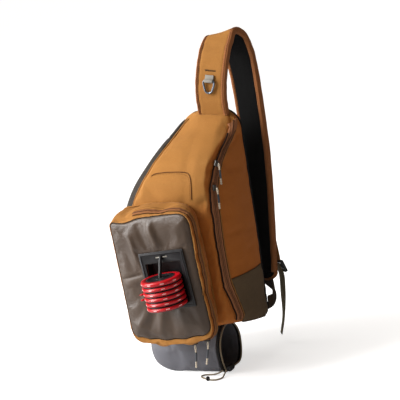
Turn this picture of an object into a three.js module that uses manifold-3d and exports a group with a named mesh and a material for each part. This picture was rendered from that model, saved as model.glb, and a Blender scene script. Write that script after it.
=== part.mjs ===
// A sling bag for fishing tackle: one padded strap, a wedge shaped canvas body with a long side zip, a
// raised front pocket that carries a dock for line spools, and an open sleeve across the bottom.
// Millimetres. +Z is up, -Y is the front, +X is the side that the sleeve opens to. The origin is the
// centre of the sleeve's foot, where the bag stands.
import * as THREE from 'three';
import { mergeVertices } from 'three/addons/utils/BufferGeometryUtils.js';
import Module from 'manifold-3d';

const wasm = await Module();
wasm.setup();

// Gaps between pieces
const clearance = 0.3;

// Bag body
const bodyWidth = 248;
const bodyHeight = 348;
const bodyDepth = 120;
const bodyRight = 120;
const bottomRise = 24;
const canvasWall = 2;
const bodyRound = 28;
const sideBulge = 4;
const frontCrown = 4;
const edgeRound = 7;

// Padded back panel
const paddingThickness = 11;
const paddingInset = 5;

// Skins sewn over the body
const skinThickness = 1.2;
const pipingWidth = 2.4;
const pipingHeight = 1.6;

// Main zip down the side
const zipTapeWidth = 21;
const zipTapeThickness = 1.4;
const zipSlot = 5;

// Front pocket
const pocketWidth = 146;
const pocketHeight = 202;
const pocketDepth = 46;
const pocketCentreX = 30;
const pocketCentreUp = 114;
const pocketRound = 20;
const pocketWall = 2;
const pocketCrown = 6;
const pocketZipWidth = 12;

// Spool dock
const dockWidth = 78;
const dockHeight = 90;
const dockPlate = 2.5;
const dockWall = 1.6;
const dockTilt = THREE.MathUtils.degToRad(5.5);
const dockAside = 17;
const dockUp = 4;
const sideBar = 8;
const topBar = 17;
const bottomBar = 6.5;
const recessDepth = 19;
const slotHeight = 3;
const slotWidth = 22;

// Line spools
const spoolRadius = 31;
const spoolThickness = 7.5;
const spoolCount = 6;
const spoolForward = 15;
const hubRadius = 3;
const bandDepth = 1.4;
const dockCordRadius = 0.9;

// Lower sleeve
const sleeveRadius = 38;
const sleeveLength = 132;
const sleeveWall = 2;
const sleeveSink = 1.2;
const mouthReach = 66;
const hemLength = 4.5;
const hemWall = 3.2;
const drawCordRadius = 1.3;

// Strap
const strapWidth = 48;
const strapRise = 116;
const strapReach = 76;
const strapDrop = 276;
const strapHalf = 5.6;
const strapEdgeHalf = 3.7;
const bindingCover = 5.5;
const bindingWall = 1.2;
const bindingGap = 0.75;

// Ring and its keeper
const ringWire = 1.4;
const ringWidth = 21;
const ringHeight = 22;
const keeperWidth = 14;
const keeperWall = 1.3;
const runningGap = 0.4;

// Webbing
const webbingWidth = 25;
const webbingThickness = 1.8;
const tailWidth = 15;
const buckleWidth = 24;
const buckleHeight = 22;
const buckleThickness = 5;

// Finishes
const finish = (color, roughness, metalness = 0) =>
  new THREE.MeshStandardMaterial({ color, roughness, metalness });
const canvas = finish(0xc08a50, 0.9);
const coated = finish(0x4a423c, 0.5);
const tapeCloth = finish(0x6f4a30, 0.85);
const darkMesh = finish(0x1c1a1a, 0.9);
const bindingCloth = finish(0x8f5a38, 0.85);
const sleeveCloth = finish(0x5f6064, 0.7);
const blackPlastic = finish(0x26242a, 0.5);
const redBand = finish(0xc8202c, 0.4);
const gunmetal = finish(0x6a6d72, 0.35, 1);
const cordCloth = finish(0x8d7a5e, 0.8);
const oliveWebbing = finish(0x6d6553, 0.85);
const brownWebbing = finish(0x3a2c20, 0.85);
const paleWebbing = finish(0x9a9588, 0.85);

const bag = new THREE.Group();

function place(name, geometry, material, parent = bag) {
  const mesh = new THREE.Mesh(geometry, material);
  mesh.name = name;
  parent.add(mesh);
  return mesh;
}

const vec = (x, y, z) => new THREE.Vector3(x, y, z);
const mix = THREE.MathUtils.lerp;

// A closed geometry from points and triangles, turned so that its faces point out
function closedGeometry(points, faces) {
  let volume = 0;
  for (const [a, b, c] of faces) {
    volume += points[a].dot(points[b].clone().cross(points[c]));
  }
  const index = faces.flatMap(([a, b, c]) => (volume < 0 ? [a, c, b] : [a, b, c]));
  const geometry = new THREE.BufferGeometry();
  geometry.setAttribute('position', new THREE.Float32BufferAttribute(points.flatMap((p) => p.toArray()), 3));
  geometry.setIndex(index);
  return geometry;
}

// A solid through closed rings of points. A ring of one point is a pole. With looped, the last ring
// joins the first one, which makes a closed hoop or a hollow band.
function loft(rings, looped = false) {
  const points = rings.flat();
  const starts = [];
  let start = 0;
  for (const ring of rings) {
    starts.push(start);
    start += ring.length;
  }
  const faces = [];
  const spans = looped ? rings.length : rings.length - 1;
  for (let i = 0; i < spans; i += 1) {
    const next = (i + 1) % rings.length;
    const count = Math.max(rings[i].length, rings[next].length);
    for (let j = 0; j < count; j += 1) {
      const k = (j + 1) % count;
      const low = (n) => (rings[i].length === 1 ? starts[i] : starts[i] + n);
      const high = (n) => (rings[next].length === 1 ? starts[next] : starts[next] + n);
      if (rings[i].length > 1) faces.push([low(j), low(k), high(k)]);
      if (rings[next].length > 1) faces.push([low(j), high(k), high(j)]);
    }
  }
  return closedGeometry(points, faces);
}

// A ring's middle, which closes a loft as its pole
function middle(ring) {
  const sum = ring.reduce((total, point) => total.add(point), vec(0, 0, 0));
  return [sum.divideScalar(ring.length)];
}

const cappedLoft = (rings) => loft([middle(rings[0]), ...rings, middle(rings.at(-1))]);

// A flat or bent sheet with thickness: two grids of points, rows by columns, joined round their rims
function sheet(outer, inner) {
  const rows = outer.length;
  const columns = outer[0].length;
  const points = [...outer.flat(), ...inner.flat()];
  const under = rows * columns;
  const faces = [];
  const at = (i, j) => i * columns + j;
  const quad = (a, b, c, d) => faces.push([a, b, c], [a, c, d]);
  for (let i = 0; i < rows - 1; i += 1) {
    for (let j = 0; j < columns - 1; j += 1) {
      quad(at(i, j), at(i + 1, j), at(i + 1, j + 1), at(i, j + 1));
      quad(under + at(i, j), under + at(i, j + 1), under + at(i + 1, j + 1), under + at(i + 1, j));
    }
  }
  for (let i = 0; i < rows - 1; i += 1) {
    quad(at(i, 0), under + at(i, 0), under + at(i + 1, 0), at(i + 1, 0));
    const last = columns - 1;
    quad(at(i + 1, last), under + at(i + 1, last), under + at(i, last), at(i, last));
  }
  for (let j = 0; j < columns - 1; j += 1) {
    quad(at(0, j + 1), under + at(0, j + 1), under + at(0, j), at(0, j));
    const last = rows - 1;
    quad(at(last, j), under + at(last, j), under + at(last, j + 1), at(last, j + 1));
  }
  return closedGeometry(points, faces);
}

// Booleans
function solid(geometry) {
  const bare = geometry.clone();
  bare.deleteAttribute('normal');
  bare.deleteAttribute('uv');
  const merged = mergeVertices(bare, 1e-4);
  return new wasm.Manifold(new wasm.Mesh({
    numProp: 3,
    vertProperties: new Float32Array(merged.attributes.position.array),
    triVerts: new Uint32Array(merged.index.array),
  }));
}

function skinOf(body) {
  const mesh = body.getMesh();
  const geometry = new THREE.BufferGeometry();
  geometry.setAttribute('position', new THREE.BufferAttribute(mesh.vertProperties, 3));
  geometry.setIndex(new THREE.BufferAttribute(mesh.triVerts, 1));
  return geometry;
}

function cut(geometry, ...tools) {
  return skinOf(tools.reduce((body, tool) => body.subtract(solid(tool)), solid(geometry)));
}

// The largest of the pieces that a cut leaves
function trimmed(geometry, ...tools) {
  const whole = tools.reduce((body, tool) => body.subtract(solid(tool)), solid(geometry));
  const pieces = whole.decompose().sort((a, b) => b.volume() - a.volume());
  return skinOf(pieces[0]);
}

function join(...geometries) {
  return skinOf(geometries.slice(1).reduce((body, piece) => body.add(solid(piece)), solid(geometries[0])));
}

function block(width, depth, height, x = 0, y = 0, z = 0) {
  return new THREE.BoxGeometry(width, depth, height).translate(x, y, z);
}

// A round cord or wire along a smooth line
function roundCord(points, radius, sides, steps) {
  const section = new THREE.Shape();
  for (let i = 0; i < sides; i += 1) {
    const angle = (i / sides) * 2 * Math.PI;
    const x = radius * Math.cos(angle);
    const y = radius * Math.sin(angle);
    if (i === 0) section.moveTo(x, y);
    else section.lineTo(x, y);
  }
  section.closePath();
  const path = new THREE.CatmullRomCurve3(points);
  return new THREE.ExtrudeGeometry(section, { steps, extrudePath: path, bevelEnabled: false });
}

// A row of a table by its height, with straight lines between the rows
function tableAt(table, key, value, column) {
  let row = 1;
  while (row < table.length - 1 && table[row][key] < value) row += 1;
  const [low, high] = [table[row - 1], table[row]];
  const share = THREE.MathUtils.clamp((value - low[key]) / (high[key] - low[key]), 0, 1);
  return mix(low[column], high[column], share);
}

// Body outline, seen from the front. Left is a share of the body's width from its right edge, up a share
// of its height from its bottom, and round a share of the corner size. The front panel's outline comes
// first, then the back panel's.
const frontLift = bottomRise / bodyHeight;
const bodyCorners = [
  { left: 0.726, up: frontLift, backLeft: 0.952, backUp: 0, round: 1 },
  { left: 0.742, up: 0.385, backLeft: 1, backUp: 0.374, round: 2.2 },
  { left: 0.621, up: 0.621, backLeft: 0.903, backUp: 0.592, round: 1.6 },
  { left: 0.418, up: 0.833, backLeft: 0.615, backUp: 0.799, round: 1.4 },
  { left: 0.357, up: 0.934, backLeft: 0.445, backUp: 0.905, round: 0.5 },
  { left: 0.28, up: 0.986, backLeft: 0.335, backUp: 0.991, round: 0.5 },
  { left: 0.034, up: 0.969, backLeft: 0.065, backUp: 1, round: 0.36 },
  { left: 0.01, up: 0.92, backLeft: 0, backUp: 0.948, round: 0.5 },
  { left: 0.052, up: 0.776, backLeft: 0, backUp: 0.787, round: 1.4 },
  { left: 0.06, up: 0.385, backLeft: 0, backUp: 0.385, round: 2 },
  { left: 0.052, up: frontLift, backLeft: 0.008, backUp: 0, round: 0.7 },
];
const cornerSteps = 3;

// How far the front panel leans back as it rises, as a share of the body's depth
const frontLean = [
  { up: 0, back: 0 },
  { up: 0.672, back: 0 },
  { up: 0.736, back: 0.033 },
  { up: 0.805, back: 0.142 },
  { up: 0.851, back: 0.317 },
  { up: 0.914, back: 0.633 },
  { up: 0.96, back: 0.783 },
  { up: 1, back: 0.82 },
];

const bodyFront = -bodyDepth / 2;
const bodyBack = bodyDepth / 2;
const sleeveAxis = sleeveRadius + 2;
const bottomSlope = bottomRise / (bodyDepth - 2 * edgeRound);
const seatHeight = (sleeveRadius - sleeveSink) * Math.hypot(1, bottomSlope) + sleeveAxis;
const bodyBottom = seatHeight - bottomRise / 2;
const bodyTop = bodyBottom + bodyHeight;

// Points round a polygon whose corners are rounded, the same number for each corner
function roundedOutline(corners, roundSize, steps) {
  const points = [];
  corners.forEach((corner, i) => {
    const before = corners[(i + corners.length - 1) % corners.length];
    const after = corners[(i + 1) % corners.length];
    const toBefore = new THREE.Vector2(before.x - corner.x, before.z - corner.z);
    const toAfter = new THREE.Vector2(after.x - corner.x, after.z - corner.z);
    const reachBefore = Math.min(corner.round * roundSize, toBefore.length() * 0.45);
    const reachAfter = Math.min(corner.round * roundSize, toAfter.length() * 0.45);
    const start = toBefore.setLength(reachBefore);
    const end = toAfter.setLength(reachAfter);
    for (let step = 0; step <= steps; step += 1) {
      const t = step / steps;
      const x = corner.x + start.x * (1 - t) ** 2 + end.x * t ** 2;
      const z = corner.z + start.y * (1 - t) ** 2 + end.y * t ** 2;
      points.push({ x, z });
    }
  });
  return points;
}

// The outline moved out along its own normals
function grownOutline(outline, grow) {
  return outline.map((point, i) => {
    const before = outline[(i + outline.length - 1) % outline.length];
    const after = outline[(i + 1) % outline.length];
    const along = new THREE.Vector2(after.x - before.x, after.z - before.z).normalize();
    return { x: point.x - along.y * grow, z: point.z + along.x * grow, outX: -along.y, outZ: along.x };
  });
}

const bodyX = (left) => bodyRight - left * bodyWidth;
const bodyZ = (up) => bodyBottom + up * bodyHeight;
const leanAt = (z) => bodyFront + bodyDepth * tableAt(frontLean, 'up', (z - bodyBottom) / bodyHeight, 'back');
const frontOutline = roundedOutline(
  bodyCorners.map(({ left, up, round }) => ({ x: bodyX(left), z: bodyZ(up), round })),
  bodyRound,
  cornerSteps,
);
const backOutline = roundedOutline(
  bodyCorners.map(({ backLeft, backUp, round }) => ({ x: bodyX(backLeft), z: bodyZ(backUp), round })),
  bodyRound,
  cornerSteps,
);
const outlineCount = frontOutline.length;

// A point of the side wall: i counts round the outline, depth runs from 0 at the front to 1 at the back,
// and grow moves it out
function sidePoint(i, depth, grow = 0) {
  const whole = Math.floor(i);
  const share = i - whole;
  if (share > 0) {
    return sidePoint(whole, depth, grow).lerp(sidePoint(whole + 1, depth, grow), share);
  }
  const n = whole % outlineCount;
  const front = grownOutline(frontOutline, 0)[n];
  const back = grownOutline(backOutline, 0)[n];
  const outX = mix(front.outX, back.outX, depth);
  const outZ = mix(front.outZ, back.outZ, depth);
  const swell = grow + sideBulge * Math.abs(outX) * Math.sin(Math.PI * THREE.MathUtils.clamp(depth, 0, 1));
  const frontY = leanAt(front.z) + edgeRound;
  return vec(
    mix(front.x, back.x, depth) + outX * swell,
    mix(frontY, bodyBack - edgeRound, depth),
    mix(front.z, back.z, depth) + outZ * swell,
  );
}

// One closed ring of the side wall
function sideRing(depth, grow) {
  return frontOutline.map((point, i) => sidePoint(i, depth, grow));
}

// A ring of the front or back face, shrunk towards its centre or moved in from its edge
function faceRing(outline, inset, scale, yOf) {
  const edge = grownOutline(outline, -inset);
  const centre = { x: bodyX(0.42), z: bodyZ(0.42) };
  return edge.map((point) => {
    const x = mix(centre.x, point.x, scale);
    const z = mix(centre.z, point.z, scale);
    return vec(x, yOf(z, scale), z);
  });
}

// Outline counts of the places that the faces and skins follow
const cornerCount = cornerSteps + 1;
const lowerLeft = 0;
const upperLeft = 5 * cornerCount;
const topLeftEnd = 6 * cornerCount - 1;
const upperRight = 7 * cornerCount;
const lowerRight = 10 * cornerCount + cornerSteps;

// Triangles between two chains of points that rise side by side
function stitch(points, left, right) {
  const faces = [];
  let [i, j] = [0, 0];
  while (i < left.length - 1 || j < right.length - 1) {
    const nextLeft = i < left.length - 1 ? points[left[i + 1]].z : Infinity;
    const nextRight = j < right.length - 1 ? points[right[j + 1]].z : Infinity;
    if (nextLeft <= nextRight) {
      faces.push([left[i], right[j], left[i + 1]]);
      i += 1;
    } else {
      faces.push([left[i], right[j], right[j + 1]]);
      j += 1;
    }
  }
  return faces;
}

// The body's whole outer form, grown or shrunk all round by one distance. Its front face is stitched up
// its left side, a line of crowned points and its right side, so that it bends only where it leans back.
function bodyForm(grow) {
  const count = outlineCount;
  const front = (z) => leanAt(z) - grow;
  const rings = [faceRing(frontOutline, edgeRound - grow, 1, front)];
  rings.push(faceRing(frontOutline, edgeRound * 0.25 - grow, 1, (z) => front(z) + edgeRound * 0.3));
  for (const depth of [0, 0.5, 1]) rings.push(sideRing(depth, grow));
  rings.push(faceRing(backOutline, edgeRound * 0.3 - grow, 1, () => bodyBack + grow - edgeRound * 0.3));
  rings.push(faceRing(backOutline, edgeRound - grow, 1, () => bodyBack + grow));
  const points = [...rings.flat(), ...middle(rings.at(-1))];
  const faces = [];
  for (let i = 0; i < rings.length - 1; i += 1) {
    for (let j = 0; j < count; j += 1) {
      const k = (j + 1) % count;
      const [a, b, c, d] = [i * count + j, i * count + k, (i + 1) * count + k, (i + 1) * count + j];
      faces.push([a, b, c], [a, c, d]);
    }
  }
  const last = (rings.length - 1) * count;
  const pole = rings.length * count;
  for (let j = 0; j < count; j += 1) faces.push([last + j, last + ((j + 1) % count), pole]);
  const crowned = frontLean.slice(1, -1).map(({ up }) => up);
  const crownLine = [0.16, 0.4, ...crowned].map((up) => {
    points.push(vec(bodyX(mix(0.4, 0.2, up)), front(bodyZ(up)) - frontCrown, bodyZ(up)));
    return points.length - 1;
  });
  const left = Array.from({ length: topLeftEnd + 1 }, (_, i) => i);
  const right = Array.from({ length: count - topLeftEnd - 1 }, (_, i) => count - 1 - i);
  const [bottomLeft, bottomRight] = [left[0], right[0]];
  faces.push(...stitch(points, left, crownLine), ...stitch(points, crownLine, right));
  faces.push([bottomLeft, bottomRight, crownLine[0]]);
  faces.push([left.at(-1), crownLine.at(-1), right.at(-1)]);
  return closedGeometry(points, faces);
}

// Main zip: its line down the side wall. Along runs from the top right corner to the bottom, and depth
// is its share of the wall's depth
const zipLine = [
  { along: 0, depth: 0.45 },
  { along: 0.22, depth: 0.2 },
  { along: 0.34, depth: 0.1 },
  { along: 0.6, depth: 0.08 },
  { along: 0.78, depth: 0.1 },
  { along: 1, depth: 0.3 },
];
const zipDepth = (i) => tableAt(zipLine, 'along', (i - upperRight) / (lowerRight - upperRight), 'depth');

// A sheet over the side wall, from one outline count to another. Depths gives the columns of each row
function sideSheet(from, to, depths, inside, outside) {
  const rows = { outer: [], inner: [] };
  for (let i = from; i <= to; i += 1) {
    rows.outer.push(depths(i).map((depth) => sidePoint(i, depth, outside)));
    rows.inner.push(depths(i).map((depth) => sidePoint(i, depth, inside)));
  }
  return sheet(rows.outer, rows.inner);
}

// A band of one width along a line down the side wall
function sideBand(from, to, depthOf, width, inside, outside) {
  const depths = (i) => {
    const front = leanAt(frontOutline[i % outlineCount].z) + edgeRound;
    const half = width / 2 / (bodyBack - edgeRound - front);
    return [depthOf(i) - half, depthOf(i), depthOf(i) + half];
  };
  return sideSheet(from, to, depths, inside, outside);
}

// Body shell, open along the zip
const bodyCavity = bodyForm(-canvasWall);
const zipOpening = sideBand(upperRight + 1, lowerRight - 1, zipDepth, zipSlot, -4 * canvasWall, 2 * canvasWall);
place('body_shell', cut(bodyForm(0), bodyCavity, zipOpening), canvas);
const bodyRoom = bodyForm(clearance);

// Main zip tape
const mainTape = sideBand(upperRight, lowerRight, zipDepth, zipTapeWidth, -1, clearance + zipTapeThickness);
place('main_zip_tape', trimmed(mainTape, bodyRoom), tapeCloth);

// Body skins: the dark side panel on the left, and the rough patch low on the right
const gussetDepths = [0.1, 0.5, 0.95];
const gussetSkin = sideSheet(lowerLeft + 1, upperLeft, () => gussetDepths, -1, clearance + skinThickness);
place('left_gusset', trimmed(gussetSkin, bodyRoom), coated);

// The patch covers the side wall behind the zip. Its top edge falls towards the back
const patchTop = 0.285;
const patchFall = 0.06;
const patchBottom = 0.07;
function sidePatch() {
  const rows = { outer: [], inner: [] };
  const steps = 5;
  const first = 9 * cornerCount + cornerSteps;
  for (let row = 0; row <= steps; row += 1) {
    const line = { outer: [], inner: [] };
    for (let column = 0; column <= 4; column += 1) {
      const share = column / 4;
      const up = mix(patchTop - patchFall * share, patchBottom, row / steps);
      const z = bodyZ(up);
      const wall = frontOutline[first];
      const low = frontOutline[first + 1];
      const along = (wall.z - z) / (wall.z - low.z);
      const i = first + THREE.MathUtils.clamp(along, 0, 1);
      const zipEdge = zipDepth(i) + (zipTapeWidth / 2 + 2) / (bodyDepth - 3 * edgeRound);
      const depth = mix(zipEdge, 1, share);
      line.outer.push(sidePoint(i, depth, clearance + skinThickness));
      line.inner.push(sidePoint(i, depth, -1));
    }
    rows.outer.push(line.outer);
    rows.inner.push(line.inner);
  }
  return sheet(rows.outer, rows.inner);
}
place('side_patch', trimmed(sidePatch(), bodyRoom), coated);

// Padded back panel
function backPanel(grow) {
  const behind = bodyBack + clearance;
  const rim = faceRing(backOutline, paddingInset - grow, 1, () => behind - grow);
  const belly = faceRing(backOutline, paddingInset - 2 - grow, 1, () => behind + paddingThickness * 0.45);
  const shoulder = faceRing(backOutline, paddingInset + 5 - grow, 1, () => behind + paddingThickness * 0.85 + grow);
  const crown = faceRing(backOutline, paddingInset + 5 - grow, 0.8, () => behind + paddingThickness + grow);
  return cappedLoft([rim, belly, shoulder, crown]);
}
place('back_panel', backPanel(0), darkMesh);
const panelRoom = backPanel(clearance);

// Front pocket. Both outlines hold shares of the pocket's width and height from its centre: the front
// panel's, then the line where its gusset meets the body.
const pocketCorners = [
  { aside: -0.452, up: -0.49, baseAside: -0.52, baseUp: -0.475, round: 1 },
  { aside: -0.488, up: 0.1, baseAside: -0.56, baseUp: 0.1, round: 2 },
  { aside: -0.514, up: 0.467, baseAside: -0.51, baseUp: 0.51, round: 0.45 },
  { aside: 0.1, up: 0.512, baseAside: 0.02, baseUp: 0.56, round: 2 },
  { aside: 0.465, up: 0.525, baseAside: 0.35, baseUp: 0.515, round: 1.2 },
  { aside: 0.473, up: 0.1, baseAside: 0.4, baseUp: 0.1, round: 2 },
  { aside: 0.54, up: -0.455, baseAside: 0.42, baseUp: -0.435, round: 1.3 },
  { aside: 0.02, up: -0.52, baseAside: 0.01, baseUp: -0.49, round: 2 },
];
const pocketX = (aside) => pocketCentreX + aside * pocketWidth;
const pocketZ = (up) => bodyBottom + pocketCentreUp + up * pocketHeight;
const pocketOutline = roundedOutline(
  pocketCorners.map(({ aside, up, round }) => ({ x: pocketX(aside), z: pocketZ(up), round })),
  pocketRound,
  cornerSteps,
);
const pocketBase = roundedOutline(
  pocketCorners.map(({ baseAside, baseUp, round }) => ({ x: pocketX(baseAside), z: pocketZ(baseUp), round })),
  pocketRound,
  cornerSteps,
);
const pocketCount = pocketOutline.length;
const panelY = bodyFront - pocketDepth;
const gussetSwell = 4;

// A point of the pocket's gusset: depth runs from 0 at the front panel to 1 at the body
function pocketPoint(i, depth, grow = 0) {
  const n = i % pocketCount;
  const front = grownOutline(pocketOutline, 0)[n];
  const base = grownOutline(pocketBase, 0)[n];
  const swell = grow + gussetSwell * Math.sin(Math.PI * THREE.MathUtils.clamp(depth, 0, 1));
  return vec(
    mix(front.x, base.x, depth) + front.outX * swell,
    mix(panelY, bodyFront, depth),
    mix(front.z, base.z, depth) + front.outZ * swell,
  );
}
const pocketRing = (depth, grow) => pocketOutline.map((point, i) => pocketPoint(i, depth, grow));

// The gusset is a band that is open at both ends, cut to the body's form where it is sewn on
const zipInPocket = 0.16;
const pastBody = 1.3;
function pocketBand(from, to, width, inside, outside) {
  const rows = { outer: [], inner: [] };
  const half = width / 2 / pocketDepth;
  for (let i = from; i <= to; i += 1) {
    const edges = [zipInPocket - half, zipInPocket + half];
    rows.outer.push(edges.map((edge) => pocketPoint(i, edge, outside)));
    rows.inner.push(edges.map((edge) => pocketPoint(i, edge, inside)));
  }
  return sheet(rows.outer, rows.inner);
}
const pocketDepths = [0, 0.5, pastBody];
const gussetOuter = pocketDepths.map((depth) => pocketRing(depth, 0));
const gussetInner = pocketDepths.map((depth) => pocketRing(depth, -pocketWall)).reverse();
const pocketZipStart = 2 * cornerCount + cornerSteps;
const pocketZipEnd = 7 * cornerCount + 1;
const pocketOpening = pocketBand(pocketZipStart + 1, pocketZipEnd - 1, zipSlot, -3 * pocketWall, 2 * pocketWall);
const pocketGusset = trimmed(loft([...gussetOuter, ...gussetInner], true), bodyRoom, pocketOpening);
place('pocket_gusset', pocketGusset, canvas);
const pocketTape = pocketBand(pocketZipStart, pocketZipEnd, pocketZipWidth, clearance, clearance + zipTapeThickness);
place('pocket_zip_tape', pocketTape, tapeCloth);

// A frame of its own for the dock: it sits on the panel's flat middle and leans as the panel does
const dockCentre = vec(pocketCentreX + dockAside, panelY - pocketCrown - pocketWall, pocketZ(0) + dockUp);
function inDock(geometry) {
  return geometry.rotateY(-dockTilt).translate(dockCentre.x, dockCentre.y, dockCentre.z);
}

// Front panel of the pocket, crowned to a flat middle, with the hole that the dock drops into
const recessLeft = -dockWidth / 2 + sideBar;
const recessRight = dockWidth / 2 - sideBar;
const recessLow = -dockHeight / 2 + bottomBar;
const recessHigh = dockHeight / 2 - topBar;
const recessX = (recessLeft + recessRight) / 2;
const recessZ = (recessLow + recessHigh) / 2;
const recessWidth = recessRight - recessLeft;
const recessHeight = recessHigh - recessLow;
function panelRing(scale, crown, back) {
  const centre = { x: pocketX(0.02), z: pocketZ(0) };
  return grownOutline(pocketOutline, 0).map((point) => {
    const x = mix(centre.x, point.x, scale);
    const z = mix(centre.z, point.z, scale);
    return vec(x, panelY - clearance - crown * pocketCrown - (back ? 0 : pocketWall), z);
  });
}
function pocketPanel() {
  const shape = [
    { scale: 0.45, crown: 1 },
    { scale: 0.82, crown: 1 },
    { scale: 0.95, crown: 0.55 },
    { scale: 1, crown: 0 },
  ];
  const front = shape.map(({ scale, crown }) => panelRing(scale, crown, false));
  const back = shape.map(({ scale, crown }) => panelRing(scale, crown, true)).reverse();
  const hole = block(
    recessWidth + 2 * (dockWall + clearance), 4 * pocketCrown, recessHeight + 2 * (dockWall + clearance),
    recessX, 0, recessZ,
  );
  return cut(cappedLoft([...front, ...back]), inDock(hole));
}
place('pocket_panel', pocketPanel(), coated);

// Spool dock: a moulded plate with a recess, and a slot above and below it for the cord. The spools
// stack up from the recess's floor, and the cord runs out of the upper slot, down through their hubs
// and back through the lower slot.
const plateBack = -clearance * 2;
const plateFront = plateBack - dockPlate;
const slotUp = dockHeight / 2 - topBar / 2;
const slotDown = recessLow - bottomBar * 0.42;
const spoolPitch = spoolThickness + clearance;
const stackLow = recessLow + clearance + 0.6;
const stackTop = stackLow + spoolCount * spoolPitch;
const spoolY = plateFront - spoolForward;
const dockCordPoints = [
  vec(0, plateBack - 0.6, slotUp),
  vec(0, plateFront - 1, slotUp),
  vec(0, mix(plateFront, spoolY, 0.7), mix(slotUp, stackTop, 0.6)),
  vec(0, spoolY, stackTop + 2),
  vec(0, spoolY, (stackTop + stackLow) / 2),
  vec(0, spoolY, stackLow + 1),
  vec(0, mix(plateFront, spoolY, 0.75), stackLow - 2.6),
  vec(0, plateBack - 0.6, slotDown),
];
const dockCord = (radius) => roundCord(dockCordPoints, radius, 8, 15);
place('dock_cord', inDock(dockCord(dockCordRadius)), blackPlastic);

function dock() {
  const plate = block(dockWidth, dockPlate, dockHeight, 0, (plateBack + plateFront) / 2, 0);
  const basinDepth = recessDepth + dockWall;
  const basin = block(
    recessWidth + 2 * dockWall, basinDepth, recessHeight + 2 * dockWall,
    recessX, plateFront + 0.5 + basinDepth / 2, recessZ,
  );
  const room = block(recessWidth, recessDepth + 2, recessHeight, recessX, plateFront + recessDepth / 2 - 1, recessZ);
  const rim = block(dockWidth - 4, 1, dockHeight - 4, 0, plateFront - 0.5, 0);
  const rimRoom = block(dockWidth - 7, 3, dockHeight - 7, 0, plateFront - 1.5, 0);
  const upperSlot = block(slotWidth, 4 * dockPlate, slotHeight, 0, plateFront, slotUp);
  const lowerSlot = block(slotWidth, 4 * dockPlate, slotHeight * 0.7, 0, plateFront, slotDown);
  const tray = cut(join(plate, basin), room);
  const framed = join(tray, cut(rim, rimRoom));
  return inDock(cut(framed, upperSlot, lowerSlot, dockCord(dockCordRadius + clearance)));
}
place('dock_tray', dock(), blackPlastic);

// Line spools, threaded one above the other on the dock's cord, each with a band round its groove
const spoolSides = 16;
const flange = 0.9;
function spool(i) {
  const half = spoolThickness / 2;
  const profile = [
    vec(hubRadius, -half, 0),
    vec(spoolRadius - 1, -half, 0),
    vec(spoolRadius - 1, -half + flange, 0),
    vec(spoolRadius - bandDepth - 1.6, -half + flange, 0),
    vec(spoolRadius - bandDepth - 1.6, half - flange, 0),
    vec(spoolRadius - 1, half - flange, 0),
    vec(spoolRadius - 1, half, 0),
    vec(hubRadius, half, 0),
  ];
  const rings = [];
  for (let j = 0; j < spoolSides; j += 1) {
    const angle = (j / spoolSides) * 2 * Math.PI;
    rings.push(profile.map(({ x, y }) => vec(x * Math.cos(angle), x * Math.sin(angle), y)));
  }
  return loft(rings, true).translate(0, spoolY, stackLow + spoolPitch * (i + 0.5));
}
function band(i) {
  const half = spoolThickness / 2 - flange - clearance;
  const inner = spoolRadius - bandDepth - 1.6 + clearance;
  const outer = spoolRadius;
  const profile = [vec(inner, -half, 0), vec(outer, -half, 0), vec(outer, half, 0), vec(inner, half, 0)];
  const rings = [];
  for (let j = 0; j < spoolSides; j += 1) {
    const angle = (j / spoolSides) * 2 * Math.PI;
    rings.push(profile.map(({ x, y }) => vec(x * Math.cos(angle), x * Math.sin(angle), y)));
  }
  return loft(rings, true).translate(0, spoolY, stackLow + spoolPitch * (i + 0.5));
}
for (let i = 0; i < spoolCount; i += 1) {
  place(`spool_${i + 1}`, inDock(spool(i)), blackPlastic);
  place(`spool_band_${i + 1}`, inDock(band(i)), redBand);
}

// Lower sleeve: a cloth tube with a flattened foot, closed on the left and open on the right
const sleeveProfile = [
  { out: 0, up: 1 },
  { out: 0.5, up: 0.931 },
  { out: 0.866, up: 0.744 },
  { out: 1, up: 0.5 },
  { out: 0.97, up: 0.3 },
  { out: 0.86, up: 0.13 },
  { out: 0.7, up: 0.03 },
  { out: 0.52, up: 0 },
];
const sleeveHeight = sleeveAxis + sleeveRadius;
function sleeveRing(x, size, inset) {
  const half = sleeveProfile.map(({ out, up }) => vec(x, -out * sleeveRadius, up * sleeveHeight));
  const mirrored = half.slice(1).reverse().map((point) => vec(x, -point.y, point.z));
  const reach = (sleeveRadius - inset) / sleeveRadius;
  return [...half, ...mirrored].map((point) => vec(
    x,
    point.y * size * reach,
    mix(sleeveAxis, point.z, size * reach),
  ));
}
const sleeveEnds = [
  { along: 0, size: 0.3 },
  { along: 0.03, size: 0.58 },
  { along: 0.12, size: 0.83 },
  { along: 0.32, size: 1 },
  { along: 0.6, size: 1 },
  { along: 1, size: 1 },
];
const mouthX = mouthReach;
const sleeveLeft = mouthX - sleeveLength;
function lowerSleeve() {
  const outer = sleeveEnds.map(({ along, size }) => sleeveRing(sleeveLeft + along * sleeveLength, size, 0));
  const inner = sleeveEnds.map(({ along, size }) => {
    const shift = along < 0.1 ? sleeveWall : 0;
    return sleeveRing(sleeveLeft + along * sleeveLength + shift, size, sleeveWall);
  });
  return loft([middle(outer[0]), ...outer, ...inner.reverse(), middle(inner.at(-1))]);
}
place('lower_sleeve', trimmed(lowerSleeve(), bodyRoom), sleeveCloth);

// Elastic hem round the mouth, and the draw cord in front of it
const hemStart = mouthX + clearance;
function mouthHem() {
  const rings = [
    sleeveRing(hemStart, 1, 0),
    sleeveRing(hemStart + hemLength, 1, 0),
    sleeveRing(hemStart + hemLength, 1, hemWall),
    sleeveRing(hemStart, 1, hemWall),
  ];
  return loft(rings, true);
}
place('sleeve_hem', trimmed(mouthHem(), bodyRoom), darkMesh);

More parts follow.
